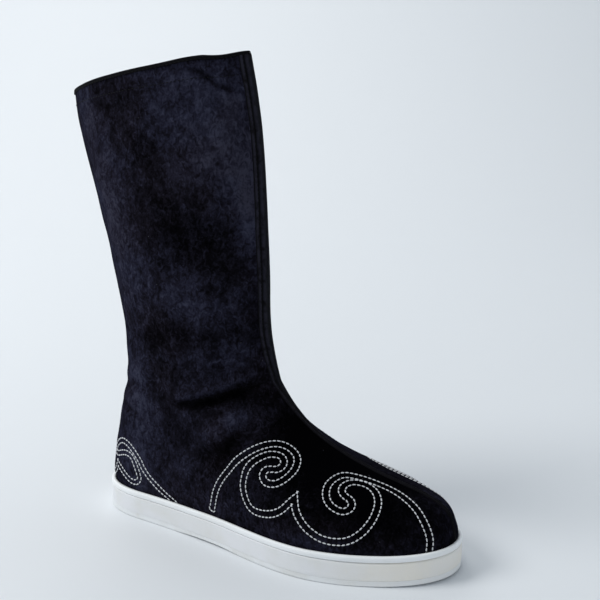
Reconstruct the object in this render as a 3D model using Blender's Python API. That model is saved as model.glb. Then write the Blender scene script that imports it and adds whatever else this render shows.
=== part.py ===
"""A right costume boot: a black velvet shaft boot on a white moulded sole.

Metres, +Z up. The toe points along +X, and the wearer's inner side is +Y.
The origin is on the floor under the middle of the heel.
"""
import math

import bmesh
import bpy
import numpy as np

# Sole, as a maker would order it
SOLE_LENGTH = 0.285
HEEL_WIDTH = 0.0705
WAIST_WIDTH = 0.0735
BALL_WIDTH = 0.1085
OUTSOLE_THICKNESS = 0.0040
MIDSOLE_THICKNESS = 0.0126
WELT_HEIGHT = 0.0042
WELT_LEDGE = 0.0030
GROOVE_DEPTH = 0.0013
GROOVE_HEIGHT = 0.0011
EDGE_ROUND = 0.0009
TOE_SPRING = 0.0022
ARCH_RISE = 0.0014
INSOLE_THICKNESS = 0.0025

# Tread bars under the heel and the forefoot, each between two shares of the sole's length
TREADS = (("heel_tread", 0.05, 0.23), ("ball_tread", 0.53, 0.84))
TREAD_DEPTH = 0.0014
TREAD_GAP = 0.0030
TREAD_PITCH = 0.0110
TREAD_MARGIN = 0.0080

# Upper
WALL = 0.0024
ANKLE_HEIGHT = 0.1140
COLLAR_FRONT = 0.3425
COLLAR_BACK = 0.3120
COLLAR_CROWN = 0.0025
STRIP_THICKNESS = 0.0012
STRIP_SHAFT = 0.0092
STRIP_VAMP = 0.0028
BINDING_HEIGHT = 0.0042
BINDING_THICKNESS = 0.0009

# Fits
SEAT_GAP = 0.0003
HEEL_REST = 0.0400

# Stacked heights
MIDSOLE_TOP = OUTSOLE_THICKNESS + SEAT_GAP + MIDSOLE_THICKNESS
FEATHER_LINE = MIDSOLE_TOP + SEAT_GAP
WELT_TOP = FEATHER_LINE + WELT_HEIGHT
FEATHER_LENGTH = SOLE_LENGTH - 2 * WELT_LEDGE

# Fineness of the loops. The ease crowds the stations towards both seams, where the loops turn.
SIDE_STATIONS = 20
STRIP_STATIONS = 2
STATION_EASE = 0.45
DENSE_SAMPLES = 181
LEVELS_PER_ROW = 2
LEVEL_MARGIN = 0.10
SEAM_STEP = 0.02
SMOOTH_ANGLE = math.radians(40)

# Half widths of the sole before its ends are rounded. "along" is a share of the length, and "outer" and
# "inner" are shares of the width that "size" names.
WIDTHS = {"heel": HEEL_WIDTH, "waist": WAIST_WIDTH, "ball": BALL_WIDTH}
OUTLINE_COLUMNS = ("place", "along", "size", "outer", "inner")
OUTLINE_ROWS = (
    ("heel end", 0.00, "heel", 0.470, 0.470),
    ("heel", 0.17, "heel", 0.500, 0.500),
    ("waist", 0.38, "waist", 0.595, 0.405),
    ("ball", 0.68, "ball", 0.553, 0.447),
    ("toes", 0.86, "ball", 0.462, 0.462),
    ("toe end", 1.00, "ball", 0.402, 0.402),
)
OUTLINE = [dict(zip(OUTLINE_COLUMNS, row)) for row in OUTLINE_ROWS]

# The sole's ends are rounded over these shares of its length
HEEL_ROUND = 0.16
TOE_ROUND = 0.24
ROUND_POWER = 2.15
ROUND_END = 1 / ROUND_POWER

# Sections of the upper, each in a plane that runs from the back seam to the front seam.
# back_x and front_x are shares of the feather line's length. back_h and front_h are steps of height:
# 0 is the feather line, 1 the ankle and 2 the collar. heel, waist, ball and toe are shares of the sole's
# half width at those places. twist is how much of the sole's left and right curve is left. The ends are
# rounded over back_len and front_len, shares of the section, and a power over 0.5 is sharper than round.
# strip is 0 where the front strip is a narrow ridge and 1 where it is a wide band.
SECTION_COLUMNS = ("place", "back_x", "back_h", "front_x", "front_h", "heel", "waist", "ball", "toe",
                   "twist", "back_len", "back_pow", "front_len", "front_pow", "strip")
SECTION_ROWS = (
    ("feather line", 0.000, 0.000, 1.000, 0.000, 1.00, 1.00, 1.00, 1.00, 1.00,
     HEEL_ROUND, ROUND_END, TOE_ROUND, ROUND_END, 0.0),
    ("welt top", 0.000, 0.043, 1.000, 0.043, 1.00, 1.00, 1.00, 1.00, 1.00,
     HEEL_ROUND, ROUND_END, TOE_ROUND, ROUND_END, 0.0),
    ("toe wall", -0.001, 0.130, 0.996, 0.140, 1.00, 1.01, 1.02, 0.99, 1.00, 0.14, 0.470, 0.25, 0.480, 0.0),
    ("toe bend", 0.002, 0.235, 0.984, 0.246, 0.99, 1.02, 0.99, 0.95, 0.95, 0.15, 0.475, 0.28, 0.520, 0.0),
    ("toe top", 0.007, 0.338, 0.958, 0.315, 0.97, 1.00, 0.93, 0.88, 0.90, 0.15, 0.480, 0.33, 0.560, 0.0),
    ("toe back", 0.013, 0.431, 0.915, 0.368, 0.95, 0.97, 0.88, 0.85, 0.80, 0.16, 0.480, 0.40, 0.600, 0.0),
    ("vamp front", 0.019, 0.524, 0.857, 0.411, 0.94, 0.94, 0.86, 0.84, 0.70, 0.17, 0.485, 0.47, 0.630, 0.0),
    ("vamp", 0.025, 0.617, 0.783, 0.466, 0.93, 0.92, 0.86, 0.84, 0.60, 0.18, 0.490, 0.54, 0.650, 0.0),
    ("vamp back", 0.032, 0.710, 0.699, 0.552, 0.92, 0.92, 0.86, 0.84, 0.50, 0.20, 0.495, 0.60, 0.650, 0.0),
    ("instep", 0.040, 0.803, 0.622, 0.668, 0.91, 0.93, 0.84, 0.80, 0.40, 0.22, 0.500, 0.64, 0.650, 0.1),
    ("bend", 0.047, 0.897, 0.557, 0.828, 0.90, 0.95, 0.80, 0.75, 0.30, 0.26, 0.510, 0.66, 0.640, 0.3),
    ("ankle", 0.050, 1.000, 0.511, 1.000, 0.91, 0.97, 0.76, 0.72, 0.20, 0.30, 0.530, 0.64, 0.640, 0.6),
    ("over ankle", 0.045, 1.060, 0.490, 1.100, 0.95, 0.98, 0.73, 0.74, 0.10, 0.36, 0.570, 0.58, 0.660, 0.9),
    ("low shaft", 0.034, 1.156, 0.479, 1.200, 0.99, 1.00, 0.71, 0.76, 0.00, 0.42, 0.620, 0.53, 0.680, 1.0),
    ("shaft", -0.007, 1.422, 0.475, 1.437, 1.05, 1.02, 0.70, 0.78, 0.00, 0.48, 0.680, 0.50, 0.700, 1.0),
    ("high shaft", -0.072, 1.744, 0.462, 1.716, 1.08, 1.04, 0.71, 0.80, 0.00, 0.50, 0.710, 0.50, 0.710, 1.0),
    ("under collar", -0.100, 1.894, 0.446, 1.873, 1.06, 1.02, 0.70, 0.79, 0.00, 0.50, 0.710, 0.50, 0.710, 1.0),
    ("collar", -0.109, 2.000, 0.426, 2.000, 1.04, 1.00, 0.68, 0.77, 0.00, 0.50, 0.710, 0.50, 0.710, 1.0),
)
SECTIONS = [dict(zip(SECTION_COLUMNS, row)) for row in SECTION_ROWS]
SECTION_PLACES = (0.12, 0.40, 0.68, 0.92)
WELT_ROW = 1
ANKLE_ROW = 11
COLLAR_ROW = len(SECTIONS) - 1

# Height of the sole's underside. "along" is a share of the length, and "arch" a share of ARCH_RISE.
UNDERSIDE = ((0.00, 0.7), (0.04, 0.0), (0.27, 0.0), (0.39, 1.0), (0.52, 0.0), (1.00, 0.0))
SPRING_START = 0.80
SPRING_FADE = 0.35

# Name, colour, roughness of each finish
FINISHES = {
    "velvet": ((0.012, 0.012, 0.017), 0.85),
    "binding_cloth": ((0.008, 0.008, 0.011), 0.75),
    "white_rubber": ((0.82, 0.83, 0.84), 0.45),
    "cream_foam": ((0.72, 0.73, 0.70), 0.60),
    "tread_rubber": ((0.66, 0.67, 0.65), 0.70),
    "insole_cloth": ((0.30, 0.28, 0.24), 0.90),
}


def clear_scene():
    for item in list(bpy.data.objects):
        bpy.data.objects.remove(item, do_unlink=True)


def finish(name):
    colour, roughness = FINISHES[name]
    material = bpy.data.materials.new(name)
    material.use_nodes = True
    shader = material.node_tree.nodes["Principled BSDF"]
    shader.inputs["Base Color"].default_value = (*colour, 1.0)
    shader.inputs["Roughness"].default_value = roughness
    shader.inputs["Metallic"].default_value = 0.0
    return material


def curve_through(places, values, at):
    """A smooth curve through a few values that never swings past them."""
    places, values = np.asarray(places, float), np.asarray(values, float)
    at = np.clip(np.asarray(at, float), places[0], places[-1])
    steps = np.diff(places)
    slopes = np.diff(values) / steps
    tangents = np.concatenate([[slopes[0]], (slopes[:-1] + slopes[1:]) / 2, [slopes[-1]]])
    for i, slope in enumerate(slopes):
        limit = 3 * abs(slope)
        tangents[i] = 0.0 if tangents[i] * slope <= 0 else math.copysign(min(abs(tangents[i]), limit), slope)
        ahead = tangents[i + 1]
        tangents[i + 1] = 0.0 if ahead * slope <= 0 else math.copysign(min(abs(ahead), limit), slope)
    k = np.clip(np.searchsorted(places, at, side="right") - 1, 0, len(steps) - 1)
    t = (at - places[k]) / steps[k]
    start = (1 + 2 * t) * (1 - t) ** 2 * values[k] + t * (1 - t) ** 2 * steps[k] * tangents[k]
    end = t * t * (3 - 2 * t) * values[k + 1] + t * t * (t - 1) * steps[k] * tangents[k + 1]
    return start + end


def rounded_end(share, length, power):
    """Rises from 0 at an end of a section to 1 at "length" from it."""
    left = np.clip(1 - share / length, 0, 1)
    return (1 - left ** ROUND_POWER) ** power


def sole_half_width(side, s):
    """Half width of the sole before its ends are rounded. side is "outer" or "inner"."""
    along = [row["along"] for row in OUTLINE]
    widths = [row[side] * WIDTHS[row["size"]] for row in OUTLINE]
    return curve_through(along, widths, s)


def sole_end_rounding(s):
    return rounded_end(s, HEEL_ROUND, ROUND_END) * rounded_end(1 - s, TOE_ROUND, ROUND_END)


def toe_spring(x):
    start = SPRING_START * SOLE_LENGTH
    return TOE_SPRING * np.clip((x - start) / (SOLE_LENGTH - start), 0, 1) ** 2


def underside(x):
    along, arch = zip(*UNDERSIDE)
    return toe_spring(x) + ARCH_RISE * curve_through(along, arch, x / SOLE_LENGTH)


def height(step, collar):
    """Turns a step of height into metres: 0 is the feather line, 1 the ankle, 2 the collar."""
    foot = np.clip(step, 0, 1) * (ANKLE_HEIGHT - FEATHER_LINE)
    shaft = np.clip(step - 1, 0, 1) * (collar - ANKLE_HEIGHT)
    return FEATHER_LINE + foot + shaft


def section_value(name, v):
    return curve_through(range(len(SECTIONS)), [row[name] for row in SECTIONS], v)


def seam_point(end, v):
    """A point (x, z) of the back or front seam at level v, counted in rows of the table."""
    collar = COLLAR_BACK if end == "back" else COLLAR_FRONT
    x = WELT_LEDGE + section_value(end + "_x", v) * FEATHER_LENGTH
    return np.array([x, height(section_value(end + "_h", v), collar)])


def seam_offset(end, v, inset):
    """The seam's point moved inwards, square to the seam."""
    low, high = max(v - SEAM_STEP, 0), min(v + SEAM_STEP, COLLAR_ROW)
    along = seam_point(end, high) - seam_point(end, low)
    along /= np.hypot(*along)
    inwards = np.array([along[1], -along[0]]) * (1 if end == "back" else -1)
    return seam_point(end, v) + inset * inwards


def section_half_width(side, v, s, inset):
    own = sole_half_width(side, s)
    mean = (sole_half_width("outer", s) + sole_half_width("inner", s)) / 2
    twist = section_value("twist", v)
    shares = [section_value(name, v) for name in ("heel", "waist", "ball", "toe")]
    full = (mean + twist * (own - mean)) * curve_through(SECTION_PLACES, shares, s)
    back = rounded_end(s, section_value("back_len", v), section_value("back_pow", v))
    front = rounded_end(1 - s, section_value("front_len", v), section_value("front_pow", v))
    return (full - WELT_LEDGE - inset) * back * front


def strip_half_width(v):
    return STRIP_VAMP + section_value("strip", v) * (STRIP_SHAFT - STRIP_VAMP)


def stations(v):
    """Places along a section, from 1 at the front seam to 0 at the back, spaced along its edge."""
    s = 0.5 + 0.5 * np.cos(np.linspace(0, math.pi, DENSE_SAMPLES))
    back, front = seam_point("back", v), seam_point("front", v)
    half = (section_half_width("outer", v, s, 0) + section_half_width("inner", v, s, 0)) / 2
    run = np.hypot(np.diff(s) * np.hypot(*(front - back)), np.diff(half))
    arc = np.concatenate([[0], np.cumsum(run)])
    strip = strip_half_width(v)
    near = np.linspace(0, strip, STRIP_STATIONS + 1)
    t = np.linspace(0, 1, SIDE_STATIONS + 1)[1:]
    eased = t - STATION_EASE * np.sin(2 * math.pi * t) / (2 * math.pi)
    far = strip + eased * (arc[-1] - strip)
    return np.interp(np.concatenate([near, far]), arc, s)


def side_points(v, side, inset, s):
    """Points of one side of a section of the upper, moved inwards by the inset."""
    back, front = seam_offset("back", v, inset), seam_offset("front", v, inset)
    line = back + s[:, None] * (front - back)
    half = section_half_width(side, v, s, inset)
    step = (line[:, 1] - FEATHER_LINE) / (ANKLE_HEIGHT - FEATHER_LINE)
    lift = toe_spring(line[:, 0]) * np.clip(1 - step / SPRING_FADE, 0, 1)
    up_shaft = max(v - ANKLE_ROW, 0) / (COLLAR_ROW - ANKLE_ROW)
    lift = lift + COLLAR_CROWN * up_shaft ** 2 * 4 * s * (1 - s)
    sign = -1 if side == "outer" else 1
    return np.stack([line[:, 0], sign * half, line[:, 1] + lift], axis=1)


def upper_loop(v, inset, s):
    """A closed loop: front seam, outer side, back seam, inner side."""
    outer = side_points(v, "outer", inset, s)
    inner = side_points(v, "inner", inset, s)
    return np.concatenate([outer, inner[-2:0:-1]])


def sole_loop(inset, z_of_x, s):
    """The sole's outline moved inwards, on the surface that z_of_x gives."""
    x = inset + s * (SOLE_LENGTH - 2 * inset)
    round_ends = sole_end_rounding(s)
    sides = []
    for side, sign in (("outer", -1), ("inner", 1)):
        half = (sole_half_width(side, s) - inset) * round_ends
        sides.append(np.stack([x, sign * half, z_of_x(x)], axis=1))
    return np.concatenate([sides[0], sides[1][-2:0:-1]])


def bridge(faces, first, second, count):
    """Joins two rings of vertices that start at the given numbers."""
    for i in range(count):
        j = (i + 1) % count
        faces.append((first + i, first + j, second + j, second + i))


def ladder(faces, first, count):
    """Closes a ring from side to side, with a rung at each pair of stations."""
    half = count // 2
    faces.append((first, first + 1, first + count - 1))
    for i in range(1, half - 1):
        faces.append((first + i, first + i + 1, first + count - i - 1, first + count - i))
    faces.append((first + half - 1, first + half, first + half + 1))


def add_piece(name, points, faces, material, parent):
    mesh = bpy.data.meshes.new(name)
    mesh.from_pydata([tuple(p) for p in points], [], faces)
    shape = bmesh.new()
    shape.from_mesh(mesh)
    bmesh.ops.recalc_face_normals(shape, faces=shape.faces)
    shape.to_mesh(mesh)
    shape.free()
    mesh.shade_smooth()
    mesh.set_sharp_from_angle(angle=SMOOTH_ANGLE)
    mesh.materials.append(material)
    piece = bpy.data.objects.new(name, mesh)
    bpy.context.collection.objects.link(piece)
    piece.parent = parent
    return piece


def stack_of_loops(loops):
    """Points and faces of a solid made of closed loops, capped at both ends."""
    count = len(loops[0])
    faces = []
    for k in range(len(loops) - 1):
        bridge(faces, k * count, (k + 1) * count, count)
    ladder(faces, 0, count)
    ladder(faces, (len(loops) - 1) * count, count)
    return np.concatenate(loops), faces


def ring_of_loops(loops):
    """Points and faces of a ring whose section is the polygon that the loops make."""
    count = len(loops[0])
    faces = []
    for k in range(len(loops)):
        bridge(faces, k * count, ((k + 1) % len(loops)) * count, count)
    return np.concatenate(loops), faces


def above(z):
    """A level that keeps the sole's toe spring."""
    return lambda x: z + toe_spring(x)


def tread_gaps(name, start, end, rubber, parent):
    """Cutters for the gaps between the bars of the tread, set about the middle of a stretch."""
    middle = (start + end) / 2
    pairs = int((end - start) / 2 / TREAD_PITCH)
    places = [middle + (i + 0.5) * TREAD_PITCH for i in range(-pairs, pairs)]
    points, faces = [], []
    for place in places:
        base = len(points)
        for z in (-TREAD_DEPTH, TREAD_DEPTH):
            for x in (place - TREAD_GAP / 2, place + TREAD_GAP / 2):
                s = x / SOLE_LENGTH
                for side, sign in (("outer", -1), ("inner", 1)):
                    half = sole_half_width(side, s) * sole_end_rounding(s) - TREAD_MARGIN
                    points.append((x, sign * half, z))
        corners = ((0, 1, 3, 2), (4, 6, 7, 5), (0, 4, 5, 1), (2, 3, 7, 6), (0, 2, 6, 4), (1, 5, 7, 3))
        faces += [tuple(base + c for c in face) for face in corners]
    cutter = add_piece(name, points, faces, rubber, parent)
    cutter.hide_render = True
    cutter.display_type = "WIRE"
    return cutter


def make_outsole(parent, s):
    loops = [
        sole_loop(EDGE_ROUND, underside, s),
        sole_loop(0, lambda x: underside(x) + EDGE_ROUND, s),
        sole_loop(0, above(OUTSOLE_THICKNESS), s),
    ]
    rubber = finish("tread_rubber")
    outsole = add_piece("outsole", *stack_of_loops(loops), rubber, parent)
    for name, start, end in TREADS:
        cut = outsole.modifiers.new(name, "BOOLEAN")
        cut.operation = "DIFFERENCE"
        cut.object = tread_gaps(name + "_cutter", start * SOLE_LENGTH, end * SOLE_LENGTH, rubber, parent)
    return outsole


def make_midsole(parent, s):
    low = OUTSOLE_THICKNESS + SEAT_GAP
    profile = (
        (0.0, low),
        (0.0, MIDSOLE_TOP - GROOVE_HEIGHT - EDGE_ROUND),
        (EDGE_ROUND / 2, MIDSOLE_TOP - GROOVE_HEIGHT),
        (GROOVE_DEPTH, MIDSOLE_TOP - GROOVE_HEIGHT + EDGE_ROUND / 3),
        (GROOVE_DEPTH, MIDSOLE_TOP),
    )
    loops = [sole_loop(inset, above(z), s) for inset, z in profile]
    return add_piece("midsole", *stack_of_loops(loops), finish("cream_foam"), parent)


def make_welt(parent, s):
    """The rolled lip round the upper's foot."""
    inside = WELT_LEDGE - SEAT_GAP
    middle = FEATHER_LINE + WELT_HEIGHT / 2
    profile = (
        (inside, FEATHER_LINE),
        (EDGE_ROUND, FEATHER_LINE),
        (0.0, FEATHER_LINE + EDGE_ROUND),
        (-EDGE_ROUND / 3, middle),
        (0.0, WELT_TOP - EDGE_ROUND * 1.6),
        (EDGE_ROUND, WELT_TOP - EDGE_ROUND * 0.4),
        (inside - EDGE_ROUND / 2, WELT_TOP),
        (inside, WELT_TOP - EDGE_ROUND / 2),
    )
    loops = [sole_loop(inset, above(z), s) for inset, z in profile]
    return add_piece("welt", *ring_of_loops(loops), finish("white_rubber"), parent)


def make_insole(parent, s):
    inset = WELT_LEDGE + WALL + SEAT_GAP
    top = FEATHER_LINE + INSOLE_THICKNESS
    loops = [
        sole_loop(inset, above(FEATHER_LINE), s),
        sole_loop(inset, above(top - EDGE_ROUND / 2), s),
        sole_loop(inset + EDGE_ROUND / 2, above(top), s),
    ]
    return add_piece("insole", *stack_of_loops(loops), finish("insole_cloth"), parent)


def levels_between(low, high):
    """Levels to model, at every part of a row of the table and at both ends."""
    steps = np.arange(0, COLLAR_ROW * LEVELS_PER_ROW + 1) / LEVELS_PER_ROW
    inside = [v for v in steps if low + LEVEL_MARGIN < v < high - LEVEL_MARGIN]
    return [low, *inside, high]


def make_upper(parent):
    """One hollow wall, open at the collar and underneath."""
    levels = levels_between(0, COLLAR_ROW)
    places = {v: stations(v) for v in levels}
    outside = [upper_loop(v, 0, places[v]) for v in levels]
    inside = [upper_loop(v, WALL, places[v]) for v in reversed(levels)]
    return add_piece("upper", *ring_of_loops(outside + inside), finish("velvet"), parent)


def binding_level():
    """The level of the binding's lower edge, under the front of the collar."""
    row = SECTIONS[COLLAR_ROW - 1]
    drop = height(2, COLLAR_FRONT) - height(row["front_h"], COLLAR_FRONT)
    return COLLAR_ROW - BINDING_HEIGHT / drop


def make_binding(parent):
    """A strip folded over the edge of the collar."""
    low = binding_level()
    near = SEAT_GAP
    far = SEAT_GAP + BINDING_THICKNESS
    corners = (
        (low, -far, 0), (COLLAR_ROW, -far, near), (COLLAR_ROW, -near, far), (COLLAR_ROW, WALL + near, far),
        (COLLAR_ROW, WALL + far, near), (low, WALL + far, 0), (low, WALL + near, 0),
        (COLLAR_ROW, WALL + near, near), (COLLAR_ROW, -near, near), (low, -near, 0),
    )
    loops = [upper_loop(v, inset, stations(v)) + [0, 0, rise] for v, inset, rise in corners]
    return add_piece("collar_binding", *ring_of_loops(loops), finish("binding_cloth"), parent)


def strip_section(v):
    """Ten points round the front strip at one level: its back on the upper, then its face."""
    s = stations(v)[:STRIP_STATIONS + 1]
    edge = SEAT_GAP + STRIP_THICKNESS / 2
    face = SEAT_GAP + STRIP_THICKNESS

    def across(inset):
        outer = side_points(v, "outer", inset, s)
        inner = side_points(v, "inner", inset, s)
        return np.concatenate([outer[::-1], inner[1:]])

    back, rolled, front = across(-SEAT_GAP), across(-edge), across(-face)
    front[0], front[-1] = rolled[0], rolled[-1]
    return np.concatenate([back, front[::-1]])


def make_front_strip(parent):
    """A raised strip that straddles the front seam from the collar to the toe."""
    row = SECTIONS[WELT_ROW + 1]
    rise = height(row["front_h"], COLLAR_FRONT) - WELT_TOP
    low = WELT_ROW + 2 * SEAT_GAP / rise
    row = SECTIONS[COLLAR_ROW - 1]
    drop = height(2, COLLAR_FRONT) - height(row["front_h"], COLLAR_FRONT)
    high = binding_level() - 2 * SEAT_GAP / drop
    loops = [strip_section(v) for v in levels_between(low, high)]
    count = len(loops[0])
    faces = []
    for k in range(len(loops) - 1):
        bridge(faces, k * count, (k + 1) * count, count)
    last = (len(loops) - 1) * count
    for base in (0, last):
        for i in range(2 * STRIP_STATIONS):
            faces.append((base + i, base + i + 1, base + count - 2 - i, base + count - 1 - i))
    return add_piece("front_strip", np.concatenate(loops), faces, finish("binding_cloth"), parent)


def main():
    clear_scene()
    boot = bpy.data.objects.new("boot", None)
    bpy.context.collection.objects.link(boot)
    boot.location = (-HEEL_REST, 0, 0)
    sole_stations = stations(0)
    make_outsole(boot, sole_stations)
    make_midsole(boot, sole_stations)
    make_welt(boot, sole_stations)
    make_insole(boot, sole_stations)
    make_upper(boot)
    make_front_strip(boot)
    make_binding(boot)


main()
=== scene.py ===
# %% [markdown]
# A black velvet costume boot for the right foot.
# The solids come from CAD: a hollow upper, a strip down the front, a collar binding and a layered sole.
# This lesson dresses them. Soft pieces are made again with finer meshes, folds and stitches, and every
# visible surface gets a finish made of nodes.

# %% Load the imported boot
import math
from functools import partial

import bmesh
import bpy
import numpy as np
from mathutils import Matrix, Vector, noise
from mathutils.bvhtree import BVHTree


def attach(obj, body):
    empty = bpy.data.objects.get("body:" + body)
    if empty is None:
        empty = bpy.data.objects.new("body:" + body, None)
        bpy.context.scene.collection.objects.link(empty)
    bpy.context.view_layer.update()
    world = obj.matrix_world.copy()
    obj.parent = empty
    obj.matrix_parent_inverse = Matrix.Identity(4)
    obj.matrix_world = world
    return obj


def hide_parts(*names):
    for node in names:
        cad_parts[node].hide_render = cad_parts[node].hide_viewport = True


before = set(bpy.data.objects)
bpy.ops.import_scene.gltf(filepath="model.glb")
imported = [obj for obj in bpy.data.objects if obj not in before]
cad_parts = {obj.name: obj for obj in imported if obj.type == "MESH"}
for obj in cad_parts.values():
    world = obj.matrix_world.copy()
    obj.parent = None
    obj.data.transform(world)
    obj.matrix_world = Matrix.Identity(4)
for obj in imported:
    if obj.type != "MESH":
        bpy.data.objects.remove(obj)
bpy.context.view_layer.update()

MM = 0.001

# %% [markdown]
# The boot is built round a last, the foot-shaped form that a shoemaker works on. Here the last is a short
# table: each row is one section of the upper, from the feather line, where the upper meets the sole, up to
# the collar. The sizes are the ones that the CAD solids use, so the fine pieces lie where the solids lie.
# A table and a smooth curve through its columns keep the form easy to change.

# %% Sizes of the last
HEEL_REST = 0.040
SOLE_LENGTH = 0.285
WELT_LEDGE = 0.0030
FEATHER_LENGTH = SOLE_LENGTH - 2 * WELT_LEDGE
FEATHER_LINE = 0.0172
WELT_TOP = 0.0214
ANKLE_HEIGHT = 0.114
COLLAR = {"front": 0.3425, "back": 0.3120}
COLLAR_CROWN = 0.0025
TOE_SPRING, SPRING_START, SPRING_FADE = 0.0022, 0.80, 0.35
ARCH_RISE = 0.0014
UNDERSIDE = ((0.00, 0.7), (0.04, 0.0), (0.27, 0.0), (0.39, 1.0), (0.52, 0.0), (1.00, 0.0))
WIDTHS = {"heel": 0.0705, "waist": 0.0735, "ball": 0.1085}
OUTLINE = (
    # along, size, outer share, inner share
    (0.00, "heel", 0.470, 0.470), (0.17, "heel", 0.500, 0.500), (0.38, "waist", 0.595, 0.405),
    (0.68, "ball", 0.553, 0.447), (0.86, "ball", 0.462, 0.462), (1.00, "ball", 0.402, 0.402),
)
HEEL_ROUND, TOE_ROUND, ROUND_POWER = 0.16, 0.24, 2.15
ROUND_END = 1 / ROUND_POWER
COLUMNS = ("back_x", "back_h", "front_x", "front_h", "heel", "waist", "ball", "toe",
           "twist", "back_len", "back_pow", "front_len", "front_pow", "strip")
SECTIONS = np.array((
    (0.000, 0.000, 1.000, 0.000, 1.00, 1.00, 1.00, 1.00, 1.00,
     HEEL_ROUND, ROUND_END, TOE_ROUND, ROUND_END, 0.0),
    (0.000, 0.043, 1.000, 0.043, 1.00, 1.00, 1.00, 1.00, 1.00,
     HEEL_ROUND, ROUND_END, TOE_ROUND, ROUND_END, 0.0),
    (-0.001, 0.130, 0.996, 0.140, 1.00, 1.01, 1.02, 0.99, 1.00, 0.14, 0.470, 0.25, 0.480, 0.0),
    (0.002, 0.235, 0.984, 0.246, 0.99, 1.02, 0.99, 0.95, 0.95, 0.15, 0.475, 0.28, 0.520, 0.0),
    (0.007, 0.338, 0.958, 0.315, 0.97, 1.00, 0.93, 0.88, 0.90, 0.15, 0.480, 0.33, 0.560, 0.0),
    (0.013, 0.431, 0.915, 0.368, 0.95, 0.97, 0.88, 0.85, 0.80, 0.16, 0.480, 0.40, 0.600, 0.0),
    (0.019, 0.524, 0.857, 0.411, 0.94, 0.94, 0.86, 0.84, 0.70, 0.17, 0.485, 0.47, 0.630, 0.0),
    (0.025, 0.617, 0.783, 0.466, 0.93, 0.92, 0.86, 0.84, 0.60, 0.18, 0.490, 0.54, 0.650, 0.0),
    (0.032, 0.710, 0.699, 0.552, 0.92, 0.92, 0.86, 0.84, 0.50, 0.20, 0.495, 0.60, 0.650, 0.0),
    (0.040, 0.803, 0.622, 0.668, 0.91, 0.93, 0.84, 0.80, 0.40, 0.22, 0.500, 0.64, 0.650, 0.1),
    (0.047, 0.897, 0.557, 0.828, 0.90, 0.95, 0.80, 0.75, 0.30, 0.26, 0.510, 0.66, 0.640, 0.3),
    (0.050, 1.000, 0.511, 1.000, 0.91, 0.97, 0.76, 0.72, 0.20, 0.30, 0.530, 0.64, 0.640, 0.6),
    (0.045, 1.060, 0.490, 1.100, 0.95, 0.98, 0.73, 0.74, 0.10, 0.36, 0.570, 0.58, 0.660, 0.9),
    (0.034, 1.156, 0.479, 1.200, 0.99, 1.00, 0.71, 0.76, 0.00, 0.42, 0.620, 0.53, 0.680, 1.0),
    (-0.007, 1.422, 0.475, 1.437, 1.05, 1.02, 0.70, 0.78, 0.00, 0.48, 0.680, 0.50, 0.700, 1.0),
    (-0.072, 1.744, 0.462, 1.716, 1.08, 1.04, 0.71, 0.80, 0.00, 0.50, 0.710, 0.50, 0.710, 1.0),
    (-0.100, 1.894, 0.446, 1.873, 1.06, 1.02, 0.70, 0.79, 0.00, 0.50, 0.710, 0.50, 0.710, 1.0),
    (-0.109, 2.000, 0.426, 2.000, 1.04, 1.00, 0.68, 0.77, 0.00, 0.50, 0.710, 0.50, 0.710, 1.0),
))
SECTION_PLACES = (0.12, 0.40, 0.68, 0.92)
WELT_ROW, ANKLE_ROW, COLLAR_ROW = 1, 11, len(SECTIONS) - 1
print("sections of the last:", len(SECTIONS))

# %% A smooth curve through a few values
def curve_through(places, values, at):
    """Passes through every value and never swings past one."""
    places, values = np.asarray(places, float), np.asarray(values, float)
    at = np.clip(np.asarray(at, float), places[0], places[-1])
    steps = np.diff(places)
    slopes = np.diff(values) / steps
    tangents = np.concatenate([[slopes[0]], (slopes[:-1] + slopes[1:]) / 2, [slopes[-1]]])
    for i, slope in enumerate(slopes):
        for j in (i, i + 1):
            keep = tangents[j] * slope > 0
            tangents[j] = math.copysign(min(abs(tangents[j]), 3 * abs(slope)), slope) if keep else 0.0
    k = np.clip(np.searchsorted(places, at, side="right") - 1, 0, len(steps) - 1)
    t = (at - places[k]) / steps[k]
    start = (1 + 2 * t) * (1 - t) ** 2 * values[k] + t * (1 - t) ** 2 * steps[k] * tangents[k]
    end = t * t * (3 - 2 * t) * values[k + 1] + t * t * (t - 1) * steps[k] * tangents[k + 1]
    return start + end


def bell(distance, width):
    """1 at the middle, fading softly over the width."""
    return np.exp(-(distance / width) ** 2)


def ramp(value, start, end):
    """0 before start, 1 after end, with a soft step between."""
    t = np.clip((value - start) / (end - start), 0, 1)
    return t * t * (3 - 2 * t)


print("a curve through 0, 1 and 0, halfway to the top:", float(curve_through((0, 1, 2), (0, 1, 0), 0.5)))


# %% Widths and heights of the last
def section(name, v):
    """One column of the table at a level that may lie between two rows."""
    return curve_through(range(len(SECTIONS)), SECTIONS[:, COLUMNS.index(name)], v)


def rounded_end(share, length, power):
    """0 at the tip, 1 from the given length on."""
    return (1 - np.clip(1 - share / length, 0, 1) ** ROUND_POWER) ** power


def sole_half_width(side, s):
    """From the line between heel tip and toe tip to the sole's edge, before the ends are rounded."""
    column = 2 if side == "outer" else 3
    return curve_through([row[0] for row in OUTLINE], [row[column] * WIDTHS[row[1]] for row in OUTLINE], s)


def sole_ends(s):
    return rounded_end(s, HEEL_ROUND, ROUND_END) * rounded_end(1 - s, TOE_ROUND, ROUND_END)


def toe_spring(x):
    start = SPRING_START * SOLE_LENGTH
    return TOE_SPRING * np.clip((x - start) / (SOLE_LENGTH - start), 0, 1) ** 2


def height(step, end):
    """A table height in metres: 0 to 1 is feather line to ankle, 1 to 2 is ankle to collar."""
    foot = np.clip(step, 0, 1) * (ANKLE_HEIGHT - FEATHER_LINE)
    return FEATHER_LINE + foot + np.clip(step - 1, 0, 1) * (COLLAR[end] - ANKLE_HEIGHT)


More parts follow.
